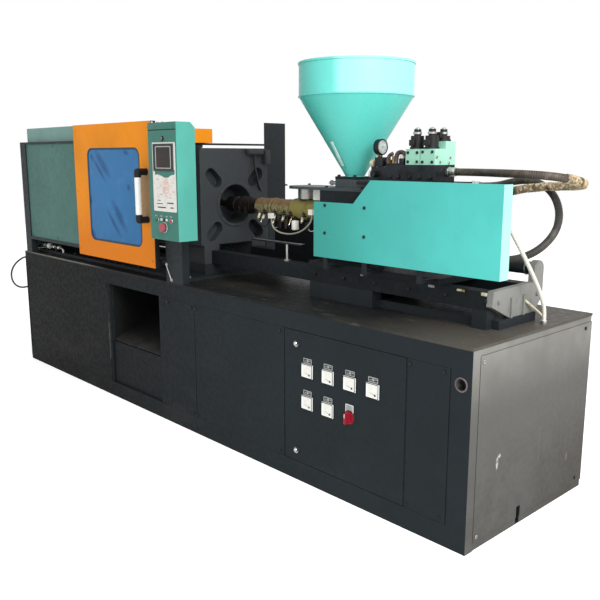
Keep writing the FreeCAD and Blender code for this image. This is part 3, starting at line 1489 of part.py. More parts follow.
def cover_front():
    """Folded sheet cover in front of the injection unit, with its end flange."""
    front = -d.cover_y
    back = front + d.cover_sheet
    outline = [(d.cover_start, d.cover_bottom), (d.cover_end, d.cover_bottom),
               (d.cover_end, d.cover_top), (d.cover_step_end, d.cover_top),
               (d.cover_step_start, d.cover_low_top), (d.cover_start, d.cover_low_top)]
    sheet_face = profiled("y", outline, front, back)
    end_flange = slab((d.cover_end - d.cover_sheet, front, d.cover_bottom),
                      (d.cover_end, front + d.cover_end_flange, d.cover_top))
    top_lip = slab((d.cover_step_end, front, d.cover_top - d.cover_sheet),
                   (d.cover_end, front + d.cover_lip, d.cover_top))
    start_lip = slab((d.cover_start, front, d.cover_bottom),
                     (d.cover_start + d.cover_sheet, front + d.cover_lip, d.cover_low_top))
    holes = []
    for x in (d.cover_hole_left, d.cover_hole_right):
        for z in (d.cover_hole_low, d.cover_hole_high - 12):
            holes.append(rod("y", (x, front - 1, z), back + 1, d.cover_hole_radius))
    keep("cover_front", cut(fuse(sheet_face, end_flange, top_lip, start_lip), *holes))


def hoses():
    """Hydraulic hoses and cables with the fittings that they come out of."""
    flexible("hose_upper", UPPER_HOSE, d.upper_hose_diameter)
    flexible("hose_loop", LOOP_HOSE, d.loop_hose_diameter)
    flexible("power_conduit", CONDUIT, d.conduit_diameter)
    end_route = [(x - half_length.value, y, z) for x, y, z in END_CABLE]
    flexible("end_cable", end_route, d.end_cable_diameter)
    flexible("heater_lead", HEATER_LEAD, d.heater_lead_diameter)

    upper = (d.upper_hose_diameter + d.ferrule_growth) / 2
    loop = (d.loop_hose_diameter + d.ferrule_growth) / 2
    hose_plate_end = d.hose_plate_start + d.hose_plate_gauge
    port_plate_end = d.port_plate_start + d.port_plate_gauge
    first, last = UPPER_HOSE[0], UPPER_HOSE[-1]
    start, end = LOOP_HOSE[0], LOOP_HOSE[-1]
    fittings = [
        rod("x", (d.manifold_end, first[1], first[2]), first[0], upper),
        rod("x", (hose_plate_end, last[1], last[2]), last[0], upper),
        rod("x", (hose_plate_end, start[1], start[2]), start[0], loop),
        rod("x", (port_plate_end, end[1], end[2]), end[0], loop),
    ]
    gland = d.conduit_diameter / 2 + 4
    foot = CONDUIT[-1]
    run = (V(*CONDUIT[1]) - V(*CONDUIT[0])).normalize()
    nut = doc.addObject("Part::Cylinder", "Nut")
    bind(nut, "Radius", gland)
    bind(nut, "Height", d.gland_height)
    nut.Placement = FreeCAD.Placement(V(*CONDUIT[0]) - run * d.gland_height.value,
                                      FreeCAD.Rotation(DIRECTIONS["z"], run))
    bracket = slab((foot[0] - 12, -270, 1356), (d.cover_end - d.cover_sheet, -248, 1386))
    fittings.append(fuse(nut, bracket))
    keep("hose_fittings", group(*fittings))
    glands = [rod("z", (foot[0], foot[1], d.base_height), foot[2], gland)]
    for x, y, z in (END_CABLE[0], END_CABLE[-1]):
        glands.append(rod("x", (x - half_length, y, z), -half_length, d.end_cable_diameter / 2 + 4))
    keep("cable_glands", group(*glands))


def main():
    base_frame()
    base_deck()
    chute_tray()
    body_panels()
    cabinet_door()
    base_contents()
    clamp_bed()
    fixed_platen()
    moving_platen()
    rear_platen()
    tie_bars()
    guard_frame()
    top_covers()
    operator_door()
    control_box()
    injection_bed()
    rear_bracket()
    carriage()
    feed_block()
    barrel()
    injection_drive()
    hopper()
    valve_stack()
    cover_front()
    hoses()
    doc.recompute()
    for item in doc.Objects:
        if "Invalid" in item.State or "Error" in item.State:
            raise RuntimeError(f"{item.Label} failed: {item.State}")
    os.makedirs("parts", exist_ok=True)
    for item in parts:
        if item.Shape.isNull() or not item.Shape.isValid():
            raise RuntimeError(f"{item.Label} has no valid shape")
        item.Shape.exportStep(f"parts/{item.Label}.step")
    print(f"{len(parts)} sub-parts written")


main()
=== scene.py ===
import math
from itertools import product

import bmesh
import bpy
from bpy.props import FloatProperty, IntProperty, PointerProperty, StringProperty
from mathutils import Matrix, Vector


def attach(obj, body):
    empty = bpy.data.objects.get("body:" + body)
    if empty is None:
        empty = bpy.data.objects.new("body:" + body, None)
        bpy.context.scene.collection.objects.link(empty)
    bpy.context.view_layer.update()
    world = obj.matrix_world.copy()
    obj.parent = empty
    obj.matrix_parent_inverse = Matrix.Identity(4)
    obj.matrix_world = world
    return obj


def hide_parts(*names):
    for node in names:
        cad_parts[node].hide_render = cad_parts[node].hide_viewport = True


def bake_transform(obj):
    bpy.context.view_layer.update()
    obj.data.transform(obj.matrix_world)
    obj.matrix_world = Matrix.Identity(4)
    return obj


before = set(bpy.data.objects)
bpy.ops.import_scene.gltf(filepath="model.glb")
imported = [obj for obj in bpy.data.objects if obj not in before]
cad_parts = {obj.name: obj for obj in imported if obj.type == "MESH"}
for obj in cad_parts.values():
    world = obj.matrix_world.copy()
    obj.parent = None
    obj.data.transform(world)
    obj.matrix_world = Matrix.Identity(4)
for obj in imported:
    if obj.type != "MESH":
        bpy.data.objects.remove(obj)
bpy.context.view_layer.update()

bl_info = {
    "name": "Injection moulding machine finish",
    "version": (1, 0, 0),
    "blender": (4, 5, 0),
    "location": "View3D > Sidebar > Moulding machine",
    "description": "Dresses an injection moulding machine: paints, fittings, hoses and panels",
    "category": "Object",
}

MM = 0.001
# Edges that turn more than this stay sharp under smooth shading.
SHARP_ANGLE = math.radians(40)
FRONT, RIGHT, UP = (0, -1, 0), (1, 0, 0), (0, 0, 1)
WHITE = (1, 1, 1, 1)


# ---------------------------------------------------------------- settings

def paint(name, description, default):
    """A colour that a user may change."""
    return StringProperty(name=name, description=description, default=default)


def size(name, description, default, low, high):
    """A size in millimetres that a user may change."""
    return FloatProperty(name=name, description=description, default=default, min=low, max=high)


class MachinePaints(bpy.types.PropertyGroup):
    """Paint and plastic colours, as sRGB hex values."""
    turquoise: paint("Turquoise", "Covers and box side", "#54C6BE")
    pale_turquoise: paint("Pale turquoise", "Hopper shell", "#6ED8CE")
    # Darker copy of the box's turquoise for its front faces, a painted shade.
    shaded_front: paint("Fascia green", "Front of the control box", "#407B6F")
    guard_green: paint("Guard green", "Panels of the guard", "#47726A")
    cover_green: paint("Cover green", "Top cover of the clamp", "#789F96")
    orange: paint("Orange", "Sliding door and top guard", "#EA8D0C")
    charcoal: paint("Charcoal", "Base and guard frame", "#232A2E")
    # Lighter charcoal for the base's end facing the light: sun fading and a painted highlight.
    faded_and_lit: paint("Faded charcoal", "Sun faded end", "#5E5D5A")
    casting: paint("Casting grey", "Painted platens", "#3C4043")
    mint: paint("Mint", "Valve bodies", "#A8E0C8")
    window: paint("Window blue", "Tinted pane", "#2870A6")
    red: paint("Red", "Main switch and stop buttons", "#94182A")


class MachineSizes(bpy.types.PropertyGroup):
    """Sizes of the fittings that dress the machine, in millimetres."""
    screw_radius: size("Panel screw", "Radius of a panel screw's head", 7.0, 2.0, 20.0)
    bolt_radius: size("Bolt", "Radius of a foundation bolt's head", 13.0, 4.0, 40.0)
    upper_hose: size("Upper hose", "Diameter of the long hose", 34.0, 8.0, 60.0)
    loop_hose: size("Loop hose", "Diameter of the looped hose", 34.0, 8.0, 60.0)
    conduit: size("Conduit", "Diameter of the pale conduit", 18.0, 4.0, 60.0)
    end_cable: size("End cable", "Diameter of the cable at the clamp end", 14.0, 4.0, 40.0)
    heater_lead: size("Heater lead", "Diameter of the heater lead", 9.0, 2.0, 30.0)
    tube_sides: IntProperty(name="Tube resolution", description="Bevel resolution of hoses",
                            default=8, min=2, max=16)


class StudioSettings(bpy.types.PropertyGroup):
    """Camera and light."""
    lens: FloatProperty(name="Lens", description="Focal length", default=44.52, min=10, max=200,
                        subtype="DISTANCE_CAMERA")
    key_light: FloatProperty(name="Key light", description="Power of the lamp at the right",
                             default=400.0, min=0, max=5000, unit="POWER")
    sky_light: FloatProperty(name="Sky light", description="Strength of the surrounding light",
                             default=0.84, min=0, max=5)


# ---------------------------------------------------------------- finishes

def linear(code):
    """An sRGB hex value as the linear colour that the shaders take."""
    parts = [int(code[place:place + 2], 16) / 255 for place in (1, 3, 5)]
    return (*[part / 12.92 if part <= 0.04045 else ((part + 0.055) / 1.055) ** 2.4
              for part in parts], 1.0)


def add(tree, kind, inputs=None, out=0, **settings):
    """Adds a node, sets it up, sets or links its inputs, and gives one of its outputs."""
    node = tree.nodes.new("ShaderNode" + kind)
    for name, value in settings.items():
        setattr(node, name, value)
    for name, value in (inputs or {}).items():
        if isinstance(value, bpy.types.NodeSocket):
            tree.links.new(value, node.inputs[name])
        else:
            node.inputs[name].default_value = value
    return node.outputs[out] if node.outputs else None


def cleared(owner):
    """The node tree of a new material or world, with nothing in it."""
    owner.use_nodes = True
    owner.node_tree.nodes.clear()
    return owner.node_tree


# Every finish by its name.
MATERIALS = {}
# How much darker the clouds in a sprayed paint are than its own colour.
CLOUD_SHADE = 0.86
GRIME, HAND_DIRT, HOSE_DUST = "#3A3732", "#3A3630", "#6E675A"


class Finish:
    """A surface finish, built up in layers as paint, wear and dirt build up on the real one."""

    def __init__(self, name, code, **shader):
        made = bpy.data.materials.new(name)
        made.use_nodes = True
        self.tree = made.node_tree
        self.shader = self.tree.nodes["Principled BSDF"]
        for socket, value in shader.items():
            self.shader.inputs[socket.replace("_", " ")].default_value = value
        self.colour = linear(code)
        self.shader.inputs["Base Color"].default_value = self.colour
        self.roughness = self.shader.inputs["Roughness"].default_value
        self.normal = None
        MATERIALS[name] = made

    def mottle(self, size_mm, low=0.3, high=0.7, start=0.0, end=1.0, stretch=(1, 1, 1),
               detail=4.0):
        """Cloudy patches some size_mm across, from start to end between two levels of noise."""
        place = add(self.tree, "TexCoord", out="Object")
        place = add(self.tree, "VectorMath",
                    {0: place, 1: tuple(1 / (size_mm * MM) / factor for factor in stretch)},
                    operation="MULTIPLY")
        cloud = add(self.tree, "TexNoise", {"Vector": place, "Scale": 1.0, "Detail": detail},
                    out="Fac")
        return self.ramp(cloud, low, high, start, end)

    def ramp(self, value, low, high, start=0.0, end=1.0):
        """Any value eased from start to end as it goes from low to high."""
        return add(self.tree, "MapRange", {"Value": value, "From Min": low, "From Max": high,
                                           "To Min": start, "To Max": end}, out="Result",
                   interpolation_type="SMOOTHSTEP")

    def facing(self, axis, low, high, start=0.0, end=1.0, source="Normal"):
        """How much the surface faces along an axis or, for source Object, how far along it is."""
        place = add(self.tree, "TexCoord", out=source)
        return self.ramp(add(self.tree, "SeparateXYZ", {"Vector": place}, out=axis),
                         low, high, start, end)

    def beyond(self, axis, low_mm, high_mm, start=0.0, end=1.0):
        """Eased from start to end between two places along an axis, in millimetres."""
        return self.facing(axis, low_mm * MM, high_mm * MM, start, end, "Object")

    def edges(self, radius_mm):
        """1 at edges and 0 on flats; the surface's normal is rounded over them too."""
        flat, sharp = 0.996, 0.82
        rounded = add(self.tree, "Bevel", {"Radius": radius_mm * MM}, samples=4)
        true = add(self.tree, "NewGeometry", out="Normal")
        alike = add(self.tree, "VectorMath", {0: rounded, 1: true}, out="Value",
                    operation="DOT_PRODUCT")
        self.normal = rounded
        return self.ramp(alike, flat, sharp)

    def spot(self, centre, reach, turn=(0, 0, 0)):
        """1 at a place and 0 beyond its reach, both in millimetres; turn is in degrees."""
        place = add(self.tree, "TexCoord", out="Object")
        place = add(self.tree, "VectorMath",
                    {0: place, 1: tuple(value * MM for value in centre)}, operation="SUBTRACT")
        place = add(self.tree, "Mapping",
                    {"Vector": place, "Rotation": tuple(math.radians(angle) for angle in turn)})
        place = add(self.tree, "VectorMath",
                    {0: place, 1: tuple(1 / (value * MM) for value in reach)}, operation="MULTIPLY")
        far = add(self.tree, "VectorMath", {0: place}, out="Value", operation="LENGTH")
        return self.ramp(far, 1.0, 0.45)

    def both(self, *masks):
        """Masks multiplied together."""
        joined = masks[0]
        for mask in masks[1:]:
            joined = add(self.tree, "Math", {0: joined, 1: mask}, operation="MULTIPLY")
        return joined

    def layer(self, code, *masks):
        """Lays a colour over the finish where all the masks are up."""
        self.colour = add(self.tree, "Mix", {0: self.both(*masks), 6: self.colour,
                                             7: linear(code)}, out=2, data_type="RGBA")

    def relief(self, height, depth_mm, strength=1.0):
        """Raises or sinks the surface by up to depth_mm where height is up."""
        inputs = {"Height": height, "Distance": depth_mm * MM, "Strength": strength}
        if self.normal is not None:
            inputs["Normal"] = self.normal
        self.normal = add(self.tree, "Bump", inputs)

    def uneven(self, size_mm, down=0.06, up=0.14, stretch=(1, 1, 1)):
        """Gloss that varies, as handling and oil leave it."""
        worn = self.mottle(size_mm, 0.25, 0.75, self.roughness - down, self.roughness + up, stretch)
        self.tree.links.new(worn, self.shader.inputs["Roughness"])

    def done(self):
        """Joins the built-up colour and normal to the shader."""
        if isinstance(self.colour, bpy.types.NodeSocket):
            self.tree.links.new(self.colour, self.shader.inputs["Base Color"])
        if self.normal is not None:
            self.tree.links.new(self.normal, self.shader.inputs["Normal"])


def enamel(name, code, under, dust_and_shade, roughness, wear, grime, dusty, edge_mm=2.5, gloss=0.2):
    """Sprayed machine enamel: cloudy tone, runs of grime, dust on what faces up, chipped edges.
    On the beam paint that colour on what faces up is darker, a painted shade.

    Wear shows the coat under it at the edges; the spray's orange peel is drawn 6 mm coarse."""
    coat = Finish(name, code, Roughness=roughness, Specular_IOR_Level=gloss)
    shade = "".join(f"{int(int(code[place:place + 2], 16) * CLOUD_SHADE):02X}"
                    for place in (1, 3, 5))
    coat.layer("#" + shade, coat.mottle(420, end=0.6))
    coat.layer(GRIME, coat.mottle(45, 0.52, 0.8, end=grime, stretch=(1, 1, 1.8), detail=6))
    # Dust on what faces up; on the beam paint a darker colour there, a painted shade.
    coat.layer(dust_and_shade, coat.facing("Z", 0.6, 0.98, end=dusty),
               coat.mottle(90, 0.25, 0.7, detail=6))
    chips = coat.both(coat.edges(edge_mm), coat.mottle(16, 0.56 - 0.14 * wear, 0.66, end=wear))
    coat.layer(under, chips)
    coat.uneven(25)
    coat.relief(coat.mottle(6, 0.2, 0.8, detail=2), 0.4, 0.12)
    return coat


def bare_metal(name, code, roughness, stain, stained, grain_mm, stretch=(1, 1, 1), relief=0.0):
    """Bare metal: brushing or casting grain in its gloss, and stains that oil or heat left."""
    surface = Finish(name, code, Metallic=1.0, Roughness=roughness)
    surface.layer(stain, surface.mottle(60, 0.4, 0.75, end=stained, detail=6))
    surface.edges(1.0)
    surface.uneven(grain_mm, roughness * 0.25, roughness * 0.5, stretch)
    if relief:
        surface.relief(surface.mottle(grain_mm, 0.2, 0.8), 0.5, relief)
    return surface


def moulded(name, code, roughness, soiled):
    """Moulded plastic: grain from an eroded mould, drawn 3 mm coarse to show, and hand dirt."""
    surface = Finish(name, code, Roughness=roughness, Specular_IOR_Level=0.3)
    surface.layer(HAND_DIRT, surface.mottle(30, 0.45, 0.8, end=soiled, detail=6))
    surface.edges(1.2)
    surface.relief(surface.mottle(3, 0.2, 0.8, detail=2), 0.2, 0.1)
    return surface


def ringed(name, code, dark, pitch_mm, length_mm, roughness, depth_mm, dusty, worn, spiral):
    """A hose cover whose rings or spiral repeat every pitch_mm along the piece's own length."""
    cover = Finish(name, dark, Roughness=roughness)
    along = add(cover.tree, "TexCoord", out="UV")
    along = add(cover.tree, "VectorMath",
                {0: along, 1: (math.tau * length_mm / pitch_mm, math.tau * spiral, 0.0)},
                out="Value", operation="DOT_PRODUCT")
    rings = cover.ramp(add(cover.tree, "Math", {0: along}, operation="SINE"), -0.7, 0.7)
    cover.layer(code, rings)
    cover.layer(dusty, cover.mottle(45, 0.45, 0.8, end=worn, detail=6))
    cover.relief(rings, depth_mm)
    return cover


# Dark streaks on the window, painted reflections, the last one a painted shade in its lower left
# corner: place across and up, turn in degrees, then length and width.
PANE_REFLECTIONS_AND_SHADE = (
    (-699, 1570, 43, 350, 92), (-741, 1530, 44, 310, 50), (-513, 1250, 48, 370, 100),
    (-581, 1195, 45, 350, 56), (-402, 1637, 14, 100, 44), (-385, 1428, 34, 70, 60),
    (-872, 1334, 85, 110, 50), (-832, 1608, 47, 90, 56), (-860, 1105, 50, 180, 80),
)


def paint_finishes():
    """Sprayed enamels and castings."""
    paints = bpy.context.scene.machine_paints
    # Charcoal enamel on welded tube and sheet: low gloss, scuffed and dusty near the floor. The end
    # that faces the light is painted lighter, partly sun fading and partly a painted highlight,
    # lighter near its top and darker towards its bottom and back.
    base = enamel("charcoal_enamel", paints.charcoal, "#5A5852", "#5C5852", 0.5, 0.35, 0.1, 0.2,
                  gloss=0.1)
    # Painted highlight and sun fading: the end's faces towards +X in lighter charcoal.
    on_end = base.both(base.facing("X", 0.6, 0.95), base.beyond("X", 2000, 2050))
    base.layer(paints.faded_and_lit, on_end, base.mottle(500, 0.2, 0.8, 0.86, 1.0))
    base.layer("#494845", on_end, base.beyond("Z", 700, 100), base.mottle(120, 0.3, 0.7, 0.2, 0.7))
    base.layer("#8E8D88", on_end, base.beyond("Z", 560, 840), base.mottle(200, 0.2, 0.8, 0.3, 0.8))
    base.layer("#45423D", on_end, base.beyond("Z", 520, 80), base.beyond("Y", -300, 480, end=0.75))
    # Pale smudges and scrapes on that end.
    for code, centre, reach in (("#CFC8C4", (2100, -283, 345), (40, 11, 34)),
                                ("#CFC8C4", (2100, -268, 374), (40, 13, 12)),
                                ("#8E7A72", (2100, 330, 200), (40, 8, 26)),
                                ("#5E5D59", (2100, 60, 350), (40, 12, 170))):
        base.layer(code, base.spot(centre, reach), base.mottle(13, 0.3, 0.6, 0.15, 0.8))
    # Painted shade: darker towards the left end, on all but the faces towards +X.
    base.layer("#0C0D0E", base.beyond("X", 1100, -1500, end=0.96), base.facing("X", 0.9, 0.5))
    # Arrises of the drop bay and the deck rubbed down to grey primer; along the deck's front edge
    # the light line is also a painted highlight.
    for centre, reach in (((-791, -495, 440), (9, 14, 350)), ((-1500, -495, 876), (800, 30, 9))):
        base.layer("#5A5A57", base.spot(centre, reach), base.mottle(60, 0.25, 0.7, end=0.8))
    base.layer("#3C3A37", base.mottle(150, 0.55, 0.72, end=0.2, stretch=(3, 1, 1), detail=6),
               base.beyond("Z", 900, 0))
    base.done()

    # Deck paint under years of oil: brown-black film with lighter rubbed lanes and scratches.
    deck = enamel("oily_deck_paint", "#1A1C1E", "#6B6558", "#5E564A", 0.46, 0.6, 0.3, 0.05,
                  gloss=0.12)
    deck.layer("#55514B", deck.beyond("X", 1350, 2100, end=0.85))
    deck.layer("#453F37", deck.mottle(260, 0.5, 0.72, end=0.45, stretch=(2.5, 1, 1), detail=6))
    # A light line along the deck's front edge: worn paint and a painted highlight.
    deck.layer("#77766F", deck.spot((-1500, -495, 880), (800, 12, 12)),
               deck.mottle(90, 0.2, 0.6, end=0.9))
    deck.layer("#6E675E", deck.mottle(40, 0.6, 0.72, end=0.25, stretch=(3, 1, 1), detail=6))
    deck.done()

    for name, code, under, dust_and_shade, rough, wear, grime, dusty, edge_mm in (
            # Chute paint worn through by parts sliding over it.
            ("scratched_tray_paint", "#1F2021", "#8A8983", "#6A655C", 0.5, 0.9, 0.4, 0.2, 2.0),
            # Charcoal enamel of the guard and beds, kept from the sun.
            ("frame_enamel", "#252B2E", "#5A5852", "#3E3A34", 0.5, 0.35, 0.12, 0.1, 2.0),
            # Glossy turquoise stove enamel, nearly clean, with a copy for the control box's side
            # towards the light, a painted light, and a near-white copy on the end flange that faces
            # it, a painted highlight.
            ("turquoise_enamel", paints.turquoise, "#3F6E69", "#A9BDB6", 0.32, 0.12, 0.06, 0.1,
             0.8),
            ("pale_turquoise_enamel", paints.pale_turquoise, "#4C7A74", "#C3D3CC", 0.26, 0.1, 0.04,
             0.1, 0.8),
            ("box_side_enamel", "#5DB4A6", "#3F6E69", "#A9BDB6", 0.4, 0.12, 0.06, 0.1, 0.8),
            ("lit_flange_enamel", "#A2D6D0", "#7CB8B0", "#E4EEEC", 0.4, 0.15, 0.06, 0.1, 0.8),
            # Duller greens of the guard, with grime in the runs, and the control box's front,
            # darker as a painted shade.
            ("shaded_front_enamel", paints.shaded_front, "#31524B", "#7C8C84", 0.4, 0.2, 0.14, 0.15, 1.5),
            ("guard_green_enamel", paints.guard_green, "#2F423B", "#7C8C84", 0.45, 0.3, 0.2, 0.15,
             1.5),
            ("cover_green_enamel", paints.cover_green, "#3F524B", "#A0ABA4", 0.45, 0.3, 0.12, 0.25,
             1.5),
            # Orange of the door, its gloss gone to a chalky satin.
            ("orange_enamel", paints.orange, "#8A5A1C", "#C9862A", 0.55, 0.4, 0.05, 0.15, 1.5),
            # Beams and carriage under oil mist: nearly black and matt, darker on top as a painted
            # shade.
            ("oily_beam_paint", "#1C2125", "#6B6B66", "#16181A", 0.6, 0.5, 0.2, 0.6, 2.0),
            # Greys brushed on plates and castings, rubbed through to primer at their edges.
            ("plate_grey_enamel", "#454D4F", "#77736C", "#6B6B66", 0.4, 0.5, 0.2, 0.15, 2.0),
            ("grey_casting_paint", "#8A8A86", "#565450", "#9A958A", 0.5, 0.6, 0.4, 0.2, 3.0),
            # Valve makers' pale green, smooth and clean.
            ("mint_enamel", paints.mint, "#5E8474", "#C3D3CC", 0.35, 0.3, 0.1, 0.1, 1.0),
            # Motor and tank inside the base, dusty and dull.
            ("blue_grey_enamel", "#3E5A6A", "#6B6B66", "#7C8C84", 0.45, 0.4, 0.3, 0.3, 2.0),
            ("tank_grey_enamel", "#3A4042", "#6B6B66", "#7C8C84", 0.5, 0.4, 0.3, 0.3, 2.0),
            # Heater cover sheet: olive paint browned by heat.
            ("olive_heater_sheet", "#8A8048", "#6A5A34", "#8E8460", 0.42, 0.5, 0.4, 0.3, 1.5)):
        coat = enamel(name, code, under, dust_and_shade, rough, wear, grime, dusty, edge_mm)
        if name == "turquoise_enamel":
            # Painted shade: darker towards the left.
            coat.layer("#35948A", coat.beyond("X", 1750, 950, end=0.9))
        elif name == "pale_turquoise_enamel":
            # Painted shade on the cone and on faces turned to the left, darkest on the cone's left
            # edge, and a painted highlight on the drum's faces towards the right.
            coat.layer("#60CFC3", coat.beyond("Z", 1925, 1905, end=0.85))
            coat.layer("#3FA094", coat.facing("X", 0.25, -0.8, end=0.95))
            coat.layer("#2E5F58", coat.facing("X", -0.62, -0.86, end=0.8),
                       coat.beyond("Z", 1925, 1905))
            coat.layer("#B8F6F1", coat.facing("X", 0.3, 0.5, end=0.55),
                       coat.beyond("Z", 1905, 1925))
        elif name == "scratched_tray_paint":
            # Painted shade: darker deeper in, towards the back of the chute.
            coat.layer("#0B0B0D", coat.beyond("Y", -500, -330, end=0.9))
        elif name == "orange_enamel":
            coat.layer("#DA7804", coat.beyond("Z", 1400, 980, end=0.9))
        coat.done()

    # Sand-cast iron under grey paint: pitted skin, worn arrises and an oily film.
    casting = enamel("painted_casting", paints.casting, "#77736C", "#77716A", 0.55, 0.6, 0.3, 0.3,
                     5.0)
    casting.relief(casting.mottle(14, 0.2, 0.8, detail=6), 1.2, 0.35)
    casting.done()


def metal_finishes():
    """Machined, plated and heated metals, all with the default index; gloss tells them apart."""
    for name, code, rough, stain, stained, grain, stretch in (
            # Chrome plate on ground bars: a near mirror, its faint brushing along the machine.
            ("hard_chrome", "#D8DADB", 0.13, "#A9A49A", 0.3, 30, (0.2, 1, 1)),
            # Zinc plate on screws and unions: pale satin, dulled in patches.
            ("zinc_plated_steel", "#CBCCC8", 0.3, "#8E887C", 0.5, 6, (1, 1, 1)),
            # Steel off the grinding wheel: bright, with streaks of uneven gloss.
            ("ground_steel", "#BDBEBB", 0.34, "#7D776B", 0.5, 6, (0.2, 1, 4)),
            # Oxide-blacked bolts and valve blocks: dark satin with soft highlights.
            ("blackened_steel", "#3A3D40", 0.42, "#1D1D1D", 0.6, 6, (1, 1, 1)),
            # Steel that runs hot: brown-black and dull.
            ("heat_stained_steel", "#4A4442", 0.45, "#2A2220", 0.7, 12, (1, 1, 1)),
            # Turned brass nuts and unions: warm satin under brown tarnish.
            ("brass", "#B99A5A", 0.32, "#6B5430", 0.5, 6, (1, 1, 1)),
            # Pressed rims and old pipes with a bloom of rust: pinkish grey and rough.
            ("rusty_rim", "#86787A", 0.65, "#4E3A34", 0.7, 9, (1, 1, 1))):
        bare_metal(name, code, rough, stain, stained, grain, stretch).done()
    # Grey iron as cast: dull, with the coarse skin of the mould's sand.
    bare_metal("cast_iron", "#4A4B4B", 0.6, "#2A2A2A", 0.6, 4, relief=0.4).done()

    # Mica heater bands: heat tinted copper-brown on top, still pale underneath.
    band = Finish("heat_tinted_band", "#9C946C", Metallic=0.35, Roughness=0.45)
    band.layer("#6C6344", band.mottle(25, 0.4, 0.7))
    band.layer("#7A5A3C", band.facing("Z", 0.1, 0.6), band.mottle(60, 0.2, 0.6, 0.6, 1.0))
    band.layer("#4A3424", band.facing("Z", 0.2, 0.7), band.mottle(30, 0.5, 0.7, end=0.8))
    band.edges(1.0)
    band.uneven(10)
    band.done()


def plastic_finishes():
    """Moulded plastics, printed films, glass and rubber."""
    paints = bpy.context.scene.machine_paints
    for name, code, rough, soiled in (
            # ABS, nylon and melamine mouldings: even satin, a little brighter where they are new.
            ("black_plastic", "#1E1E1F", 0.38, 0.1), ("white_grip_plastic", "#F4F4F1", 0.35, 0.1),
            ("meter_white_plastic", "#F2F3F0", 0.3, 0.05), ("red_plastic", paints.red, 0.28, 0.1),
            ("faded_red_plastic", "#A8505A", 0.4, 0.2), ("green_plastic", "#1F5A44", 0.28, 0.1),
            ("label_grey_plastic", "#9EA2A0", 0.4, 0.3), ("cream_plastic", "#DCD3B4", 0.45, 0.3),
            ("screen_bezel_plastic", "#414B4B", 0.35, 0.1),
            ("contactor_plastic", "#3A3B3C", 0.5, 0.2),
            # Printed polyester film and card: flat tones without depth.
            ("label_dark_print", "#2B2D2E", 0.5, 0.1), ("membrane_white", "#DEDCD6", 0.42, 0.15),
            ("membrane_pink_print", "#DCC0B8", 0.45, 0.2),
            ("membrane_grey_print", "#BDBBB4", 0.45, 0.2), ("dial_card", "#EDECE6", 0.5, 0.05),
            # Rubber strips and fibre board: matt. Glazed ceramic: clean gloss.
            ("window_rubber", "#2B3E50", 0.6, 0.2), ("seal_rubber", "#17191B", 0.6, 0.1),
            ("tan_board", "#9C7A50", 0.55, 0.2), ("white_ceramic", "#EFEDE6", 0.25, 0.15)):
        moulded(name, code, rough, soiled).done()

    # Dark display glass with faint rows behind it, on a film that is worn through at its edge.
    glass = Finish("display_glass", "#2A2321", Roughness=0.3, Specular_IOR_Level=0.2)
    up = add(glass.tree, "TexCoord", out="Object")
    row_pitch = 13 * MM
    rows = add(glass.tree, "VectorMath", {0: up, 1: (0.0, 0.0, math.tau / row_pitch)},
               out="Value", operation="DOT_PRODUCT")
    rows = glass.ramp(add(glass.tree, "Math", {0: rows}, operation="SINE"), 0.5, 0.95)
    glass.layer("#4E4440", rows, glass.mottle(30, 0.45, 0.6, end=0.5, stretch=(3, 1, 1)))
    glass.done()

    # Acrylic: clear, faintly green strip on the hopper, and the gauge's crystal.
    strip = Finish("sight_strip_acrylic", "#D9FBF6", Roughness=0.15)
    strip.layer("#8CC4BC", strip.mottle(60, 0.45, 0.7, end=0.6))
    strip.done()
    Finish("gauge_crystal", "#F4FBFB", Roughness=0.03, Transmission_Weight=0.92, IOR=1.49).done()

    # Blue tinted acrylic with dark streaks painted on it as reflections, and a painted shade in its
    # lower left corner.
    pane = Finish("blue_acrylic", paints.window, Roughness=0.25, Specular_IOR_Level=0.15)
    pane.layer("#2A6CA0", pane.mottle(300))
    for across, up, turn, long, wide in PANE_REFLECTIONS_AND_SHADE:
        mark = pane.spot((across, -518, up), (long / 2, 40, wide / 2), (0, -turn, 0))
        pane.layer("#0B4A80", mark, pane.mottle(14, 0.3, 0.6, 0.7, 1.0))
    pane.layer("#6FA4CF", pane.mottle(90, 0.5, 0.8, end=0.15, detail=6))
    pane.layer("#2C5F90", pane.beyond("Z", 1150, 1075), pane.mottle(50, 0.3, 0.7, end=0.6))
    pane.done()

    # Hose covers, wrapped rubber marked by the cloth it was cured in; ribbed plastic conduit; the
    # smooth sheath of a cable; and a glass braid whose strands turn once round along its length.
    for name, code, dark, pitch, length, rough, depth, dusty, worn, spiral in (
            ("rubber_hose_cover", "#463C33", "#2E2722", 9, 1437, 0.6, 0.5, "#7A6C5C", 0.7, 0),
            ("loop_hose_cover", "#2F2B28", "#221F1D", 9, 1065, 0.55, 0.5, HOSE_DUST, 0.5, 0),
            ("corrugated_conduit", "#E9E7E0", "#C9C5B8", 8, 587, 0.5, 0.3, "#C9C4B4", 0.3, 0),
            ("cable_sheath", "#2A2B2C", "#202122", 60, 547, 0.5, 0.2, HOSE_DUST, 0.5, 0),
            ("glass_braid_sleeve", "#C2BCAA", "#7E7868", 5, 438, 0.8, 0.5, "#8A8270", 0.5, 1)):
        ringed(name, code, dark, pitch, length, rough, depth, dusty, worn, spiral).done()
    # Cotton tape on the hose's far bend, yellowed and oily.
    tape = Finish("frayed_tape", "#8E7C62", Roughness=0.9, Specular_IOR_Level=0.1)
    tape.layer("#D2C2A6", tape.mottle(14, 0.45, 0.65, detail=6))
    tape.layer("#3E3228", tape.mottle(34, 0.48, 0.66, end=0.85, detail=6))
    tape.layer("#E2CDA8", tape.beyond("X", 2050, 2200, end=0.6), tape.mottle(20, 0.4, 0.6))
    tape.relief(tape.mottle(2, 0.2, 0.8), 0.6, 0.5)
    tape.done()


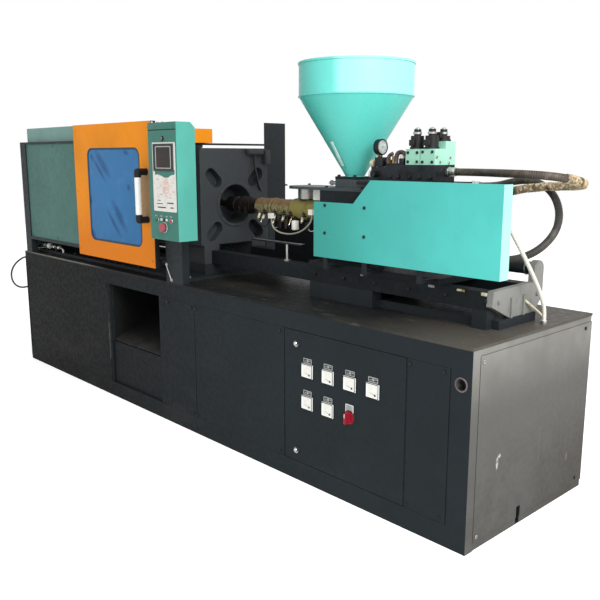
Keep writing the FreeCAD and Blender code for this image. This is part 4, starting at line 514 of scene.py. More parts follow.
# The CAD pieces that wear each finish.
NODE_FINISHES = {
    "charcoal_enamel": "base_frame body_panels electrical_door",
    "frame_enamel": "clamp_bed guard_frame injection_bed carriage_cylinder",
    "oily_deck_paint": "base_deck",
    "scratched_tray_paint": "chute_tray",
    "meter_white_plastic": "panel_meters",
    "red_plastic": "main_switch",
    "faded_red_plastic": "emergency_button stop_button",
    "green_plastic": "start_button",
    "zinc_plated_steel": "upper_lock lower_lock hose_fittings cable_glands",
    "tank_grey_enamel": "oil_tank",
    "blue_grey_enamel": "pump_motor",
    "cast_iron": "hydraulic_pump",
    "contactor_plastic": "contactor_plate",
    "painted_casting": "fixed_platen moving_platen rear_platen clamp_cylinder",
    "ground_steel": "ejector_rod screw switch_rail slide_gate",
    "hard_chrome": "clamp_ram tie_bars",
    "guard_green_enamel": "guard_panels",
    "cover_green_enamel": "top_cover",
    "orange_enamel": "top_guard operator_door",
    "blue_acrylic": "door_window",
    "white_grip_plastic": "door_handle",
    "turquoise_enamel": "control_box cover_front",
    "screen_bezel_plastic": "control_screen",
    "oily_beam_paint": "injection_beams carriage injection_cylinders drive_plate feed_block",
    "plate_grey_enamel": "hopper_plate",
    "grey_casting_paint": "rear_bracket",
    "heat_stained_steel": "barrel",
    "heat_tinted_band": "heater_bands",
    "pale_turquoise_enamel": "hopper",
    "mint_enamel": "valve_bodies",
    "black_plastic": "solenoids",
    "blackened_steel": "pressure_gauge manifold",
}

# Faces of a CAD piece that have a finish of their own, picked by place in millimetres and normal.
FACE_FINISHES = (
    # Lit and shaded copies of the box's turquoise: painted shade on its front faces, painted light
    # on its faces towards +X.
    ("control_box", "shaded_front_enamel", lambda place, normal: normal.y < -0.7),
    ("control_box", "box_side_enamel", lambda place, normal: normal.x > 0.5),
    # Painted highlight: a near-white copy on the end flange's faces towards +X.
    ("cover_front", "lit_flange_enamel", lambda place, normal: normal.x > 0.7 and place.x > 2070),
    ("door_handle", "seal_rubber", lambda place, normal: not 1280 < place.z < 1493),
    ("heater_bands", "heat_stained_steel", lambda place, normal: place.x < 200),
    ("heater_bands", "olive_heater_sheet", lambda place, normal: place.x > 540),
    ("heater_bands", "white_ceramic",
     lambda place, normal: place.y < -52 and not 421 < place.x < 726 and not 758 < place.x),
    ("hopper_plate", "ground_steel",
     lambda place, normal: place.z < 1439.9 and abs(normal.z) < 0.5 and place.x < 700),
    ("hopper_plate", "white_ceramic",
     lambda place, normal: place.z < 1439.9 and 740 < place.x < 820),
    ("switch_rail", "blackened_steel", lambda place, normal: place.z > 1138 and normal.z < 0.5),
    # Painted shade: the door's end faces towards +X in dark rubber colour.
    ("operator_door", "seal_rubber", lambda place, normal: normal.x > 0.7 and place.x > -110),
)


# ---------------------------------------------------------------- shapes

def placed(name, data):
    """A new object in the scene, at the origin."""
    made = bpy.data.objects.new(name, data)
    bpy.context.scene.collection.objects.link(made)
    return made


def around(axis, degrees):
    """A unit vector square to one of the axes 0, 1 and 2, turned about it."""
    way = [math.cos(math.radians(degrees)), math.sin(math.radians(degrees))]
    way.insert(axis, 0.0)
    return Vector(way)


def block(low, high, bevel=0.0):
    """A block between two corners, its edges rounded."""
    low, high = Vector(low), Vector(high)
    made = bmesh.new()
    bmesh.ops.create_cube(made, size=1.0, matrix=Matrix.Translation((low + high) / 2)
                          @ Matrix.Diagonal((*(high - low), 1.0)))
    return softened(made, made.edges[:], bevel)


def softened(made, chosen, bevel):
    """Rounds the chosen edges."""
    if bevel:
        bmesh.ops.bevel(made, geom=chosen, offset=bevel, offset_type="OFFSET",
                        affect="EDGES", segments=2, profile=0.5, material=-1)
    return made


def rod(start, end, radius, end_radius=None, sides=24, bevel=0.0):
    """A bar or cone between two points, its end rims rounded."""
    start, end = Vector(start), Vector(end)
    made = bmesh.new()
    turn = (end - start).to_track_quat("Z", "Y").to_matrix().to_4x4()
    bmesh.ops.create_cone(made, cap_ends=True, cap_tris=False, segments=sides, radius1=radius,
                          radius2=radius if end_radius is None else end_radius,
                          depth=(end - start).length,
                          matrix=Matrix.Translation((start + end) / 2) @ turn)
    rims = [edge for edge in made.edges
            if any(len(face.verts) == sides for face in edge.link_faces)]
    return softened(made, rims, bevel)


def turned(profile, start, direction, sides=40):
    """A shape spun from pairs of radius and place along an axis, and closed: a ring joins its
    profile's ends, and a solid its open end to the axis."""
    made = bmesh.new()
    if profile[0][0] > 0 and profile[-1][0] > 0:
        profile = [*profile, profile[0]]
    elif profile[-1][0] > 0:
        profile = [*profile, (0, profile[-1][1])]
    points = [made.verts.new((radius, 0, along)) for radius, along in profile]
    lines = [made.edges.new(pair) for pair in zip(points, points[1:])]
    bmesh.ops.spin(made, geom=points + lines, cent=(0, 0, 0), axis=UP, angle=math.tau,
                   steps=sides, use_merge=True)
    bmesh.ops.remove_doubles(made, verts=made.verts[:], dist=1e-4)
    bmesh.ops.recalc_face_normals(made, faces=made.faces[:])
    turn = Vector(direction).to_track_quat("Z", "Y").to_matrix().to_4x4()
    bmesh.ops.transform(made, matrix=Matrix.Translation(Vector(start)) @ turn, verts=made.verts[:])
    return made


def thickened(made, depth):
    """Grows a flat sheet along a vector."""
    grown = bmesh.ops.extrude_face_region(made, geom=made.faces[:])
    moved = [item for item in grown["geom"] if isinstance(item, bmesh.types.BMVert)]
    bmesh.ops.translate(made, verts=moved, vec=Vector(depth))
    bmesh.ops.recalc_face_normals(made, faces=made.faces[:])


def plate(outline, depth, bevel=0.0):
    """A flat sheet cut to an outline and thickened along a vector."""
    made = bmesh.new()
    made.faces.new([made.verts.new(point) for point in outline])
    thickened(made, depth)
    return softened(made, made.edges[:], bevel)


def rounded(low, high, corner, steps=5):
    """The outline of a round-cornered rectangle between two corners that share one coordinate."""
    across, up = [axis for axis in range(3) if abs(high[axis] - low[axis]) > 1e-6]
    outline = []
    for quarter, (side, rise) in enumerate(((1, 1), (0, 1), (0, 0), (1, 0))):
        centre = Vector(low)
        centre[across] = high[across] - corner if side else low[across] + corner
        centre[up] = high[up] - corner if rise else low[up] + corner
        for step in range(steps + 1):
            angle = math.pi / 2 * (quarter + step / steps)
            point = centre.copy()
            point[across] += corner * math.cos(angle)
            point[up] += corner * math.sin(angle)
            outline.append(point)
    return outline


def rim(outline, width, depth, bevel=0.0):
    """A flat frame inside an outline, width wide, thickened along a vector."""
    made = bmesh.new()
    face = made.faces.new([made.verts.new(point) for point in outline])
    face.normal_update()
    bmesh.ops.inset_region(made, faces=[face], thickness=width, use_boundary=True,
                           use_even_offset=True)
    bmesh.ops.delete(made, geom=[face], context="FACES_ONLY")
    thickened(made, depth)
    # The seams between the rim's flat faces stay as they are.
    arrises = [edge for edge in made.edges if edge.calc_face_angle(0.0) > SHARP_ANGLE]
    return softened(made, arrises, bevel)


def front_rim(centre, half, corner, width, rise, bevel=0.0, steps=5):
    """A rim round a centre on a front face, from its half sizes and how far it stands out."""
    reach = Vector((half[0], 0, half[1]))
    outline = rounded(Vector(centre) - reach, Vector(centre) + reach, corner, steps)
    return rim(outline, width, (0, -rise, 0), bevel)


def centreline(points):
    """A NURBS curve through control points in millimetres, with no thickness."""
    data = bpy.data.curves.new("centreline", "CURVE")
    data.dimensions = "3D"
    data.resolution_u = 10
    spline = data.splines.new("NURBS")
    spline.points.add(len(points) - 1)
    for point, place in zip(spline.points, points):
        point.co = (*[MM * value for value in place], 1.0)
    spline.order_u = 3
    spline.use_endpoint_u = True
    return placed("centreline", data)


def tube_mesh(guide, radius, sides):
    """The mesh of a round tube along a centreline, in metres, with its length along U."""
    guide.data.bevel_depth = radius * MM
    guide.data.bevel_resolution = sides
    guide.data.use_fill_caps = True
    bpy.context.view_layer.update()
    return bpy.data.meshes.new_from_object(guide)


def discard(guide):
    """Removes a centreline that has done its work."""
    data = guide.data
    bpy.data.objects.remove(guide)
    bpy.data.curves.remove(data)


def pipe(points, radius, sides=3):
    """A bent pipe or wire through control points."""
    guide = centreline(points)
    mesh = tube_mesh(guide, radius, sides)
    made = bmesh.new()
    made.from_mesh(mesh)
    bmesh.ops.remove_doubles(made, verts=made.verts[:], dist=1e-6)
    bmesh.ops.recalc_face_normals(made, faces=made.faces[:])
    bmesh.ops.scale(made, vec=(1 / MM,) * 3, verts=made.verts[:])
    discard(guide)
    bpy.data.meshes.remove(mesh)
    return made


class Assembly:
    """A piece in the making: small shapes in millimetres, each with its own finish."""

    def __init__(self, name):
        self.name = name
        self.mesh = bmesh.new()
        self.finishes = []

    def put(self, finish, *shapes, flat=False):
        """Adds shapes of one finish, shaded smooth between their sharp edges or flat."""
        if finish not in self.finishes:
            self.finishes.append(finish)
        for shape in shapes:
            for face in shape.faces:
                face.material_index = self.finishes.index(finish)
                face.smooth = not flat
            carrier = bpy.data.meshes.new("carrier")
            shape.to_mesh(carrier)
            shape.free()
            self.mesh.from_mesh(carrier)
            bpy.data.meshes.remove(carrier)

    def socket_screw(self, centre, direction, radius, finish):
        """A socket head: a low drum with a dark recess in its face."""
        centre, direction = Vector(centre), Vector(direction).normalized()
        tip = centre + direction * radius * 0.6
        self.put(finish, rod(centre, tip, radius, sides=18, bevel=radius * 0.12))
        self.put("black_plastic", rod(tip - direction * 0.2, tip + direction * 0.15, radius * 0.5,
                                      sides=6), flat=True)

    def hex_bolt(self, centre, direction, radius, finish):
        """A hexagon head on its washer, with the stud's end proud of it."""
        centre, direction = Vector(centre), Vector(direction).normalized()
        seat, under, top, end = [centre + direction * radius * step
                                 for step in (0, 0.15, 0.85, 1.1)]
        self.put(finish, rod(seat, under, radius * 1.35, sides=20),
                 rod(top, end, radius * 0.5, sides=12, bevel=radius * 0.06))
        self.put(finish, rod(under, top, radius, sides=6, bevel=radius * 0.08), flat=True)

    def finish(self, body, slot):
        """Makes the object and rides it on its body; its slot is not used."""
        bmesh.ops.scale(self.mesh, vec=(MM,) * 3, verts=self.mesh.verts[:])
        data = bpy.data.meshes.new(self.name)
        self.mesh.to_mesh(data)
        self.mesh.free()
        for finish in self.finishes:
            data.materials.append(MATERIALS[finish])
        data.set_sharp_from_angle(angle=SHARP_ANGLE)
        made = placed(self.name, data)
        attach(made, body)
        return made


# ---------------------------------------------------------------- stage

# The camera's place in metres and turn in degrees, fitted to the photograph's straight edges.
CAMERA_PLACE = (3.685, -2.8968, 1.6165)
CAMERA_TURN = (79.033, 0.0, 47.011)
SENSOR_WIDTH, CLIP_END = 36.0, 60.0
LAMP_PLACE, LAMP_AIM = Vector((6.5, -2.2, 4.6)), Vector((0.6, 0, 1.0))
LAMP_WIDTH, LAMP_HEIGHT = 4.5, 3.5
FLOOR_REACH, FLOOR_GLOW = 14.0, 0.42


class MACHINE_OT_studio(bpy.types.Operator):
    """Camera, floor, surrounding light and lamp"""
    bl_idname = "machine.studio"
    bl_label = "Studio"

    def execute(self, context):
        studio = context.scene.machine_studio
        context.scene.view_settings.view_transform = "Standard"
        lens = bpy.data.cameras.new("camera")
        lens.lens, lens.sensor_width, lens.clip_end = studio.lens, SENSOR_WIDTH, CLIP_END
        camera = placed("camera", lens)
        camera.location = CAMERA_PLACE
        camera.rotation_euler = [math.radians(angle) for angle in CAMERA_TURN]
        context.scene.camera = camera

        key = bpy.data.lights.new("key", "AREA")
        key.shape = "RECTANGLE"
        key.size, key.size_y, key.energy = LAMP_WIDTH, LAMP_HEIGHT, studio.key_light
        lamp = placed("key", key)
        lamp.location = LAMP_PLACE
        lamp.rotation_euler = (LAMP_AIM - LAMP_PLACE).to_track_quat("-Z", "Y").to_euler()

        # The world shines white to the camera and in mirrors and glass, and softly on all else.
        world = bpy.data.worlds.new("studio_world")
        context.scene.world = world
        tree = cleared(world)
        seen = add(tree, "LightPath", out="Is Camera Ray")
        for ray in ("Is Glossy Ray", "Is Transmission Ray"):
            seen = add(tree, "Math", {0: seen, 1: add(tree, "LightPath", out=ray)},
                       operation="MAXIMUM")
        strength = add(tree, "MapRange", {"Value": seen, "To Min": studio.sky_light,
                                          "To Max": 1.0}, out="Result")
        light = add(tree, "Background", {"Color": WHITE, "Strength": strength})
        add(tree, "OutputWorld", {"Surface": light})

        # The floor takes the shadow, and glows a little to the camera to stay pale.
        made = bmesh.new()
        bmesh.ops.create_grid(made, x_segments=1, y_segments=1, size=FLOOR_REACH)
        data = bpy.data.meshes.new("floor")
        made.to_mesh(data)
        made.free()
        floor = placed("floor", data)
        cloth = bpy.data.materials.new("studio_floor")
        tree = cleared(cloth)
        glow = add(tree, "Emission", {"Color": WHITE, "Strength": FLOOR_GLOW})
        glow = add(tree, "MixShader", {0: add(tree, "LightPath", out="Is Camera Ray"),
                                       1: add(tree, "Emission", {"Strength": 0.0}), 2: glow})
        matt = add(tree, "BsdfDiffuse", {"Color": linear("#F4F4F2")})
        add(tree, "OutputMaterial", {"Surface": add(tree, "AddShader", {0: matt, 1: glow})})
        data.materials.append(cloth)
        return {"FINISHED"}


# ---------------------------------------------------------------- hoses and cables

# Routes of the hoses and cables, in metres.
UPPER_HOSE = (
    (1.635, 0.0, 1.545), (1.735, 0.0, 1.545), (1.815, -0.03, 1.545), (1.89, -0.092, 1.546),
    (1.976, -0.132, 1.546), (2.09, -0.132, 1.544), (2.183, -0.064, 1.534), (2.219, 0.045, 1.514),
    (2.183, 0.154, 1.496), (2.09, 0.222, 1.488), (1.98, 0.226, 1.483), (1.876, 0.217, 1.472),
    (1.774, 0.222, 1.452), (1.684, 0.229, 1.44), (1.592, 0.229, 1.44),
)
LOOP_HOSE = (
    (1.592, 0.264, 1.474), (1.676, 0.264, 1.474), (1.762, 0.273, 1.498), (1.846, 0.281, 1.508),
    (1.928, 0.278, 1.486), (1.998, 0.256, 1.436), (2.052, 0.206, 1.364), (2.074, 0.138, 1.288),
    (2.043, 0.066, 1.215), (1.974, 0.013, 1.172), (1.882, -0.009, 1.16), (1.745, -0.009, 1.16),
)
CONDUIT = (
    (2.06, -0.2415, 1.3532), (2.06, -0.1666, 1.2796), (2.06, -0.0902, 1.2005),
    (2.06, -0.0159, 1.1194), (2.06, 0.049, 1.0434), (2.06, 0.0926, 0.9763), (2.06, 0.108, 0.934),
    (2.06, 0.108, 0.896),
)
END_CABLE = (
    (-2.116, -0.465, 0.822), (-2.18, -0.465, 0.822), (-2.238, -0.488, 0.792),
    (-2.284, -0.514, 0.75), (-2.308, -0.534, 0.694), (-2.298, -0.54, 0.632),
    (-2.26, -0.528, 0.584), (-2.212, -0.496, 0.566), (-2.162, -0.465, 0.58),
    (-2.116, -0.465, 0.58),
)
HEATER_LEAD = (
    (0.405, -0.065, 1.262), (0.405, -0.065, 1.23), (0.43, -0.066, 1.2), (0.48, -0.067, 1.184),
    (0.548, -0.068, 1.18), (0.612, -0.068, 1.188), (0.668, -0.067, 1.208), (0.712, -0.066, 1.238),
    (0.742, -0.065, 1.27), (0.742, -0.065, 1.3),
)


def wound(name, path, diameter, begin, end, pitch, finish, slot, body):
    """A tape wound round the part of a hose between two shares of its length, its edge frayed."""
    points = [Vector(point) / MM for point in path]
    reach = [0.0]
    for one, two in zip(points, points[1:]):
        reach.append(reach[-1] + (two - one).length)
    coil = []
    steps = 14
    turns = int((end - begin) * reach[-1] / pitch)
    for step in range(turns * steps + 1):
        along = begin * reach[-1] + pitch * step / steps
        place = max(index for index, gone in enumerate(reach[:-1]) if gone <= along)
        way = points[place + 1] - points[place]
        centre = points[place] + way * ((along - reach[place]) / way.length)
        side = way.cross(Vector(UP)).normalized()
        up = side.cross(way).normalized()
        angle = math.tau * step / steps
        # Two waves of no common length lift the tape here and there, as a frayed edge does.
        stand = diameter / 2 + 0.4 + 1.1 * math.sin(step * 0.37) * math.sin(step * 0.11)
        coil.append(centre + (side * math.cos(angle) + up * math.sin(angle)) * stand)
    work = Assembly(name)
    work.put(finish, pipe(coil, pitch * 0.42, 1))
    return work.finish(body, slot)


def flexible(node, route, diameter, finish, slot, body, wrap=None):
    """A hose or cable that replaces its CAD tube, on its route, with any wrap round part of it."""
    guide = centreline([[value / MM for value in point] for point in route])
    line = bpy.data.meshes.new_from_object(guide)
    path = [tuple(point.co) for point in line.vertices]
    wraps = [wound(node + "_wrap", path, diameter, *wrap, slot, body)] if wrap else []
    mesh = tube_mesh(guide, diameter / 2, bpy.context.scene.machine_sizes.tube_sides)
    discard(guide)
    bpy.data.meshes.remove(line)
    mesh.name = node + "_run"
    mesh.materials.clear()
    mesh.materials.append(MATERIALS[finish])
    mesh.shade_smooth()
    piece = placed(node + "_run", mesh)
    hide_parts(node)
    if body:
        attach(piece, body)
    return piece


class MACHINE_OT_hoses(bpy.types.Operator):
    """Two hydraulic hoses, the conduit, the clamp end cable and the heater lead"""
    bl_idname = "machine.hoses"
    bl_label = "Hoses and cables"

    def execute(self, context):
        wide = context.scene.machine_sizes
        flexible("hose_upper", UPPER_HOSE, wide.upper_hose, "rubber_hose_cover",
                 "hose_rubber", "carriage", (0.44, 0.86, 7, "frayed_tape"))
        flexible("hose_loop", LOOP_HOSE, wide.loop_hose, "loop_hose_cover", "hose_rubber",
                 "carriage")
        conduit = flexible("power_conduit", CONDUIT, wide.conduit, "corrugated_conduit",
                           "conduit_plastic", None)
        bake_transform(conduit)
        flexible("end_cable", END_CABLE, wide.end_cable, "cable_sheath", "cable_rubber",
                 "machine")
        flexible("heater_lead", HEATER_LEAD, wide.heater_lead, "glass_braid_sleeve",
                 "lead_braid", "carriage")
        return {"FINISHED"}


class MACHINE_OT_finishes(bpy.types.Operator):
    """Every finish, and the finish of every CAD piece"""
    bl_idname = "machine.finishes"
    bl_label = "Finishes"

    def execute(self, context):
        paint_finishes()
        metal_finishes()
        plastic_finishes()
        for finish, nodes in NODE_FINISHES.items():
            for node in nodes.split():
                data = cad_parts[node].data
                data.materials.clear()
                data.materials.append(MATERIALS[finish])
        for node, finish, chosen in FACE_FINISHES:
            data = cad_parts[node].data
            data.materials.append(MATERIALS[finish])
            for face in data.polygons:
                if chosen(face.center / MM, face.normal):
                    face.material_index = len(data.materials) - 1
        return {"FINISHED"}


# ---------------------------------------------------------------- base and cabinet

# Places, here and below, are in millimetres. The base's panels run from left to right.
BASE_FRONT = -495
FRONT_PANELS = ((-2050, -790), (-70, 215), (220, 990), (1780, 1995))
BACK_PANELS = ((-2049, -801), (-799, 219), (221, 1994))


class MACHINE_OT_base_fasteners(bpy.types.Operator):
    """Screws of the base panels, the rim of the lifting hole and the bolts of the ends"""
    bl_idname = "machine.base_fasteners"
    bl_label = "Base fasteners"

    def execute(self, context):
        screw = context.scene.machine_sizes.screw_radius
        work = Assembly("base_fasteners")
        for y, panels in ((BASE_FRONT, FRONT_PANELS), (-BASE_FRONT, BACK_PANELS)):
            for x in [place for left, right in panels for place in (left + 10, right - 30)]:
                work.socket_screw((x, y, 120), (0, y, 0), screw, "charcoal_enamel")
                work.socket_screw((x, y, 757), (0, y, 0), screw + 2, "seal_rubber")
        for x, z in product((-2100, 2100), (60, 815)):
            work.socket_screw((x, -420, z), (x, 0, 0), screw * 1.2, "zinc_plated_steel")
            work.socket_screw((x, 432, z), (x, 0, 0), screw * 1.2, "blackened_steel")
        work.put("seal_rubber", block((2098, -443, 36), (2100.5, -439.5, 838)), flat=True)
        work.put("rusty_rim", turned([(24, -1), (24, 3), (27, 4.5), (31, 3), (31, -1)],
                                     (2050, BASE_FRONT, 723), FRONT))
        work.finish("machine", "frame_paint")
        return {"FINISHED"}


class MACHINE_OT_deck_fittings(bpy.types.Operator):
    """Bolts of the beds, oil line along the clamp bed, and the strips on the guard's sill"""
    bl_idname = "machine.deck_fittings"
    bl_label = "Deck fittings"

    def execute(self, context):
        bolt = context.scene.machine_sizes.bolt_radius
        bed, line_y, line_z = 900, -402, 933
        work = Assembly("deck_fittings")
        for centre in product(range(-1900, 0, 450), (-385, 290), [bed]):
            work.hex_bolt(centre, UP, bolt, "blackened_steel")
        work.hex_bolt((12, -385, bed), UP, bolt, "zinc_plated_steel")
        # Oil line to the clamp, its unions, clips and pale filter.
        work.put("zinc_plated_steel", pipe([(x, line_y, z) for x, z in (
            (-2010, bed), (-2010, 930), (-1960, line_z), (-1800, line_z), (-1640, line_z),
            (-1612, 925), (-1612, bed))], 8))
        work.put("zinc_plated_steel", *[
            rod((x - 16, line_y, line_z), (x + 16, line_y, line_z), 16, sides=6, bevel=1.5)
            for x in (-1930, -1760, -1680)], flat=True)
        work.put("blackened_steel", *[block((x - 8, -414, 899), (x + 8, -390, 943), 2)
                                      for x in (-1890, -1720)])
        work.put("white_ceramic", turned([(0, -26), (17, -20), (24, 0), (17, 20), (0, 26)],
                                         (-1849, line_y, line_z), RIGHT))
        # Worn strips on the sill below the door, and the stop that the door runs against.
        work.put("zinc_plated_steel", block((-226, -493, 1004.5), (-151, -473, 1013), 1.5),
                 block((-157, -414, 899), (-92, -396, 922), 2),
                 rod((-54, -499, 986), (-4, -499, 898), 4, sides=12))
        for x, z in ((-54, 986), (-4, 898)):
            work.hex_bolt((x, BASE_FRONT, z), FRONT, 8, "zinc_plated_steel")
        work.put("oily_beam_paint", block((-40, -450, 879), (36, -424, 905), 3))
        for x in (-24, 18):
            work.hex_bolt((x, -437, 905), UP, bolt * 0.7, "zinc_plated_steel")
        work.finish("machine", "frame_paint")
        return {"FINISHED"}


METERS = [(x, 589) for x in (1164, 1305, 1446, 1587)] + [(x, 427) for x in (1164, 1305)]
METER_FACE = -503


class MACHINE_OT_meters(bpy.types.Operator):
    """Bezels, scales and needles of the panel meters, with the labels above them"""
    bl_idname = "machine.meters"
    bl_label = "Meters"

    def execute(self, context):
        work = Assembly("meter_faces")
        for x, z in METERS:
            face = Vector((x, METER_FACE, z))
            work.put("black_plastic", front_rim(face, (37, 34), 5, 3.5, 1.5, 0.5),
                     front_rim((x, BASE_FRONT, z), (40, 37), 6, 4, 2))
            work.put("meter_white_plastic", front_rim(face, (34, 31), 4, 3, 2.5, 0.5))
            work.put("dial_card", block((x - 32, -503.6, z - 29), (x + 32, -502, z + 29)),
                     flat=True)
            # Scale and needle turn about a hub in the dial's lower right corner.
            hub = face + Vector((18, 0, -17))
            pivot = hub + Vector((0, -0.8, 0))
            work.put("membrane_grey_print", *[
                rod(pivot + around(1, 98 + step * 14) * 34, pivot + around(1, 98 + step * 14) * 38,
                    0.6, sides=4) for step in range(7)], flat=True)
            work.put("label_dark_print", rod(pivot, pivot + around(1, 164) * 30, 0.7, sides=4),
                     flat=True)
            work.put("black_plastic", rod(hub, hub + Vector((0, -2, 0)), 5, sides=20, bevel=1))
            # Engraved label, its dark field worn to a few pale strokes.
            work.put("label_dark_print", block((x - 29, -496.5, z + 38), (x + 29, -494, z + 63),
                                               0.8), flat=True)
            work.put("label_grey_plastic", front_rim((x, -496.4, z + 50.5), (29, 12.5), 3, 4.5,
                                                     0.8))
            for left, right, low, high in ((-5, 7, 45, 57), (-19, -9, 47, 51), (11, 21, 51, 55)):
                work.put("label_grey_plastic", block((x + left, -497.2, z + low),
                                                     (x + right, -496, z + high)), flat=True)
        work.finish("cabinet_door", "meter_plastic")
        return {"FINISHED"}


LOCKS = {"upper_lock": 712, "lower_lock": 159}


class MACHINE_OT_cabinet_fittings(bpy.types.Operator):
    """Plate of the main switch, its grip, the collars of the locks and their slots"""
    bl_idname = "machine.cabinet_fittings"
    bl_label = "Cabinet fittings"

    def execute(self, context):
        work = Assembly("switch_plate")
        work.put("label_grey_plastic", block((1420, -496.5, 448), (1470, -494, 489), 1))
        work.put("membrane_white", front_rim((1445, -496.4, 468.5), (25, 20.5), 3, 4, 0.8))
        work.put("black_plastic", turned([(30.5, -1), (30.5, 3), (33, 3), (35, 1), (35, -1)],
                                         (1446, BASE_FRONT, 427), FRONT))
        work.put("black_plastic", *[turned([(16, -1), (16, 3), (20, 3.5), (22, 1.5), (22, -1)],
                                           (1085, BASE_FRONT, z), FRONT) for z in LOCKS.values()])
        work.finish("cabinet_door", "door_paint")
        work = Assembly("switch_grip")
        work.put("red_plastic", block((1439, -532, 401), (1453, -520, 453), 3))
        work.put("meter_white_plastic", block((1444.5, -532.8, 432), (1447.5, -531, 451)),
                 flat=True)
        work.finish("main_switch", "switch_red")
        for name, z in LOCKS.items():
            work = Assembly(name + "_slot")
            work.put("black_plastic", block((1076, -501.8, z - 1.8), (1094, -500.6, z + 1.8), 0.3),
                     flat=True)
            work.put("hard_chrome", turned([(0, 12), (9, 11), (11, 8), (11, -1)],
                                           (1089, -501, z + 4), FRONT, 24))
            work.finish(name, "lock_chrome")
        return {"FINISHED"}


# ---------------------------------------------------------------- guard and control box

class MACHINE_OT_door_fittings(bpy.types.Operator):
    """Rubber seal of the window, a dark strip on the door's end as painted shade, and the plate of
    its handle
    """
    bl_idname = "machine.door_fittings"
    bl_label = "Door fittings"

    def execute(self, context):
        face = -540
        work = Assembly("door_fittings")
        work.put("window_rubber", front_rim((-565, -541.5, 1370), (324, 299), 54, 11, -6, 2, 8))
        # A dark strip over the door's right end face, a painted shade.
        work.put("seal_rubber", block((-105.5, -541, 958), (-101, -509, 1818), 1.5))
        work.put("tan_board", plate(rounded((-226, face, 1236), (-128, face, 1536), 10),
                                    (0, -2.5, 0), 0.5))
        for centre in product((-212, -142), [face - 2.5], (1252, 1520)):
            work.socket_screw(centre, FRONT, 5, "zinc_plated_steel")
        for centre in product((-1040, -136), [face], (1000, 1390, 1780)):
            work.socket_screw(centre, FRONT, 6, "orange_enamel")
        work.finish("operator_door", "orange_paint")
        work = Assembly("guard_fasteners")
        for centre in product((-1940, -1510, -1100), [-487], (1024, 1686)):
            work.socket_screw(centre, FRONT, 6, "guard_green_enamel")
        work.finish("machine", "guard_paint")
        return {"FINISHED"}


BOX_FRONT = -650

# Flat parts on the control box: finish, low and high corner across and up, how far the part's
# face and back stand out from the box, and its bevel.
BOX_PLATES = (
    # Cap strip, the seam of the lid below it, and the slot of the cam lock.
    ("shaded_front_enamel", 42, 1759, 314, 1793, 1.5, -1, 0.7),
    ("seal_rubber", 42, 1754, 314, 1759, 0.4, -1, 0),
    ("zinc_plated_steel", 184.5, 1703, 187.5, 1717, 8, 6.5, 0),
    # Display, and the dark line and strokes printed on the film.
    ("display_glass", 124, 1556, 262, 1664, 5, 3.5, 0),
    ("label_dark_print", 104, 1536, 296, 1544, 1.8, 1, 0),
    ("label_dark_print", 216, 1363, 277, 1369, 1.8, 1, 0),
    ("label_dark_print", 119, 1337, 200, 1343, 1.8, 1, 0),
    ("label_dark_print", 245, 1338, 276, 1344, 1.8, 1, 0),
    ("label_dark_print", 112, 1358, 170, 1362, 1.8, 1, 0),
    ("label_dark_print", 120, 1376, 150, 1380, 1.8, 1, 0),
    # Small plates above the emergency button, and the strips that name the buttons.
    ("membrane_white", 144, 1266, 162, 1279, 4, 0, 1),
    ("label_dark_print", 172, 1264, 188, 1280, 3, 0, 1),
    ("membrane_white", 196, 1266, 212, 1279, 4, 0, 1),
    *[("label_grey_plastic", x - 9, 1288, x + 9, 1295, 1.2, 0, 0) for x in (98, 152, 204, 246)],
)


def key_print(row, column):
    """The print on a key of the worn keypad: mostly white, some pink and a few grey."""
    if (row * 5 + column * 3) % 7 == 0:
        return "membrane_grey_print"
    return "membrane_pink_print" if (row + column) % 3 == 0 else "membrane_white"


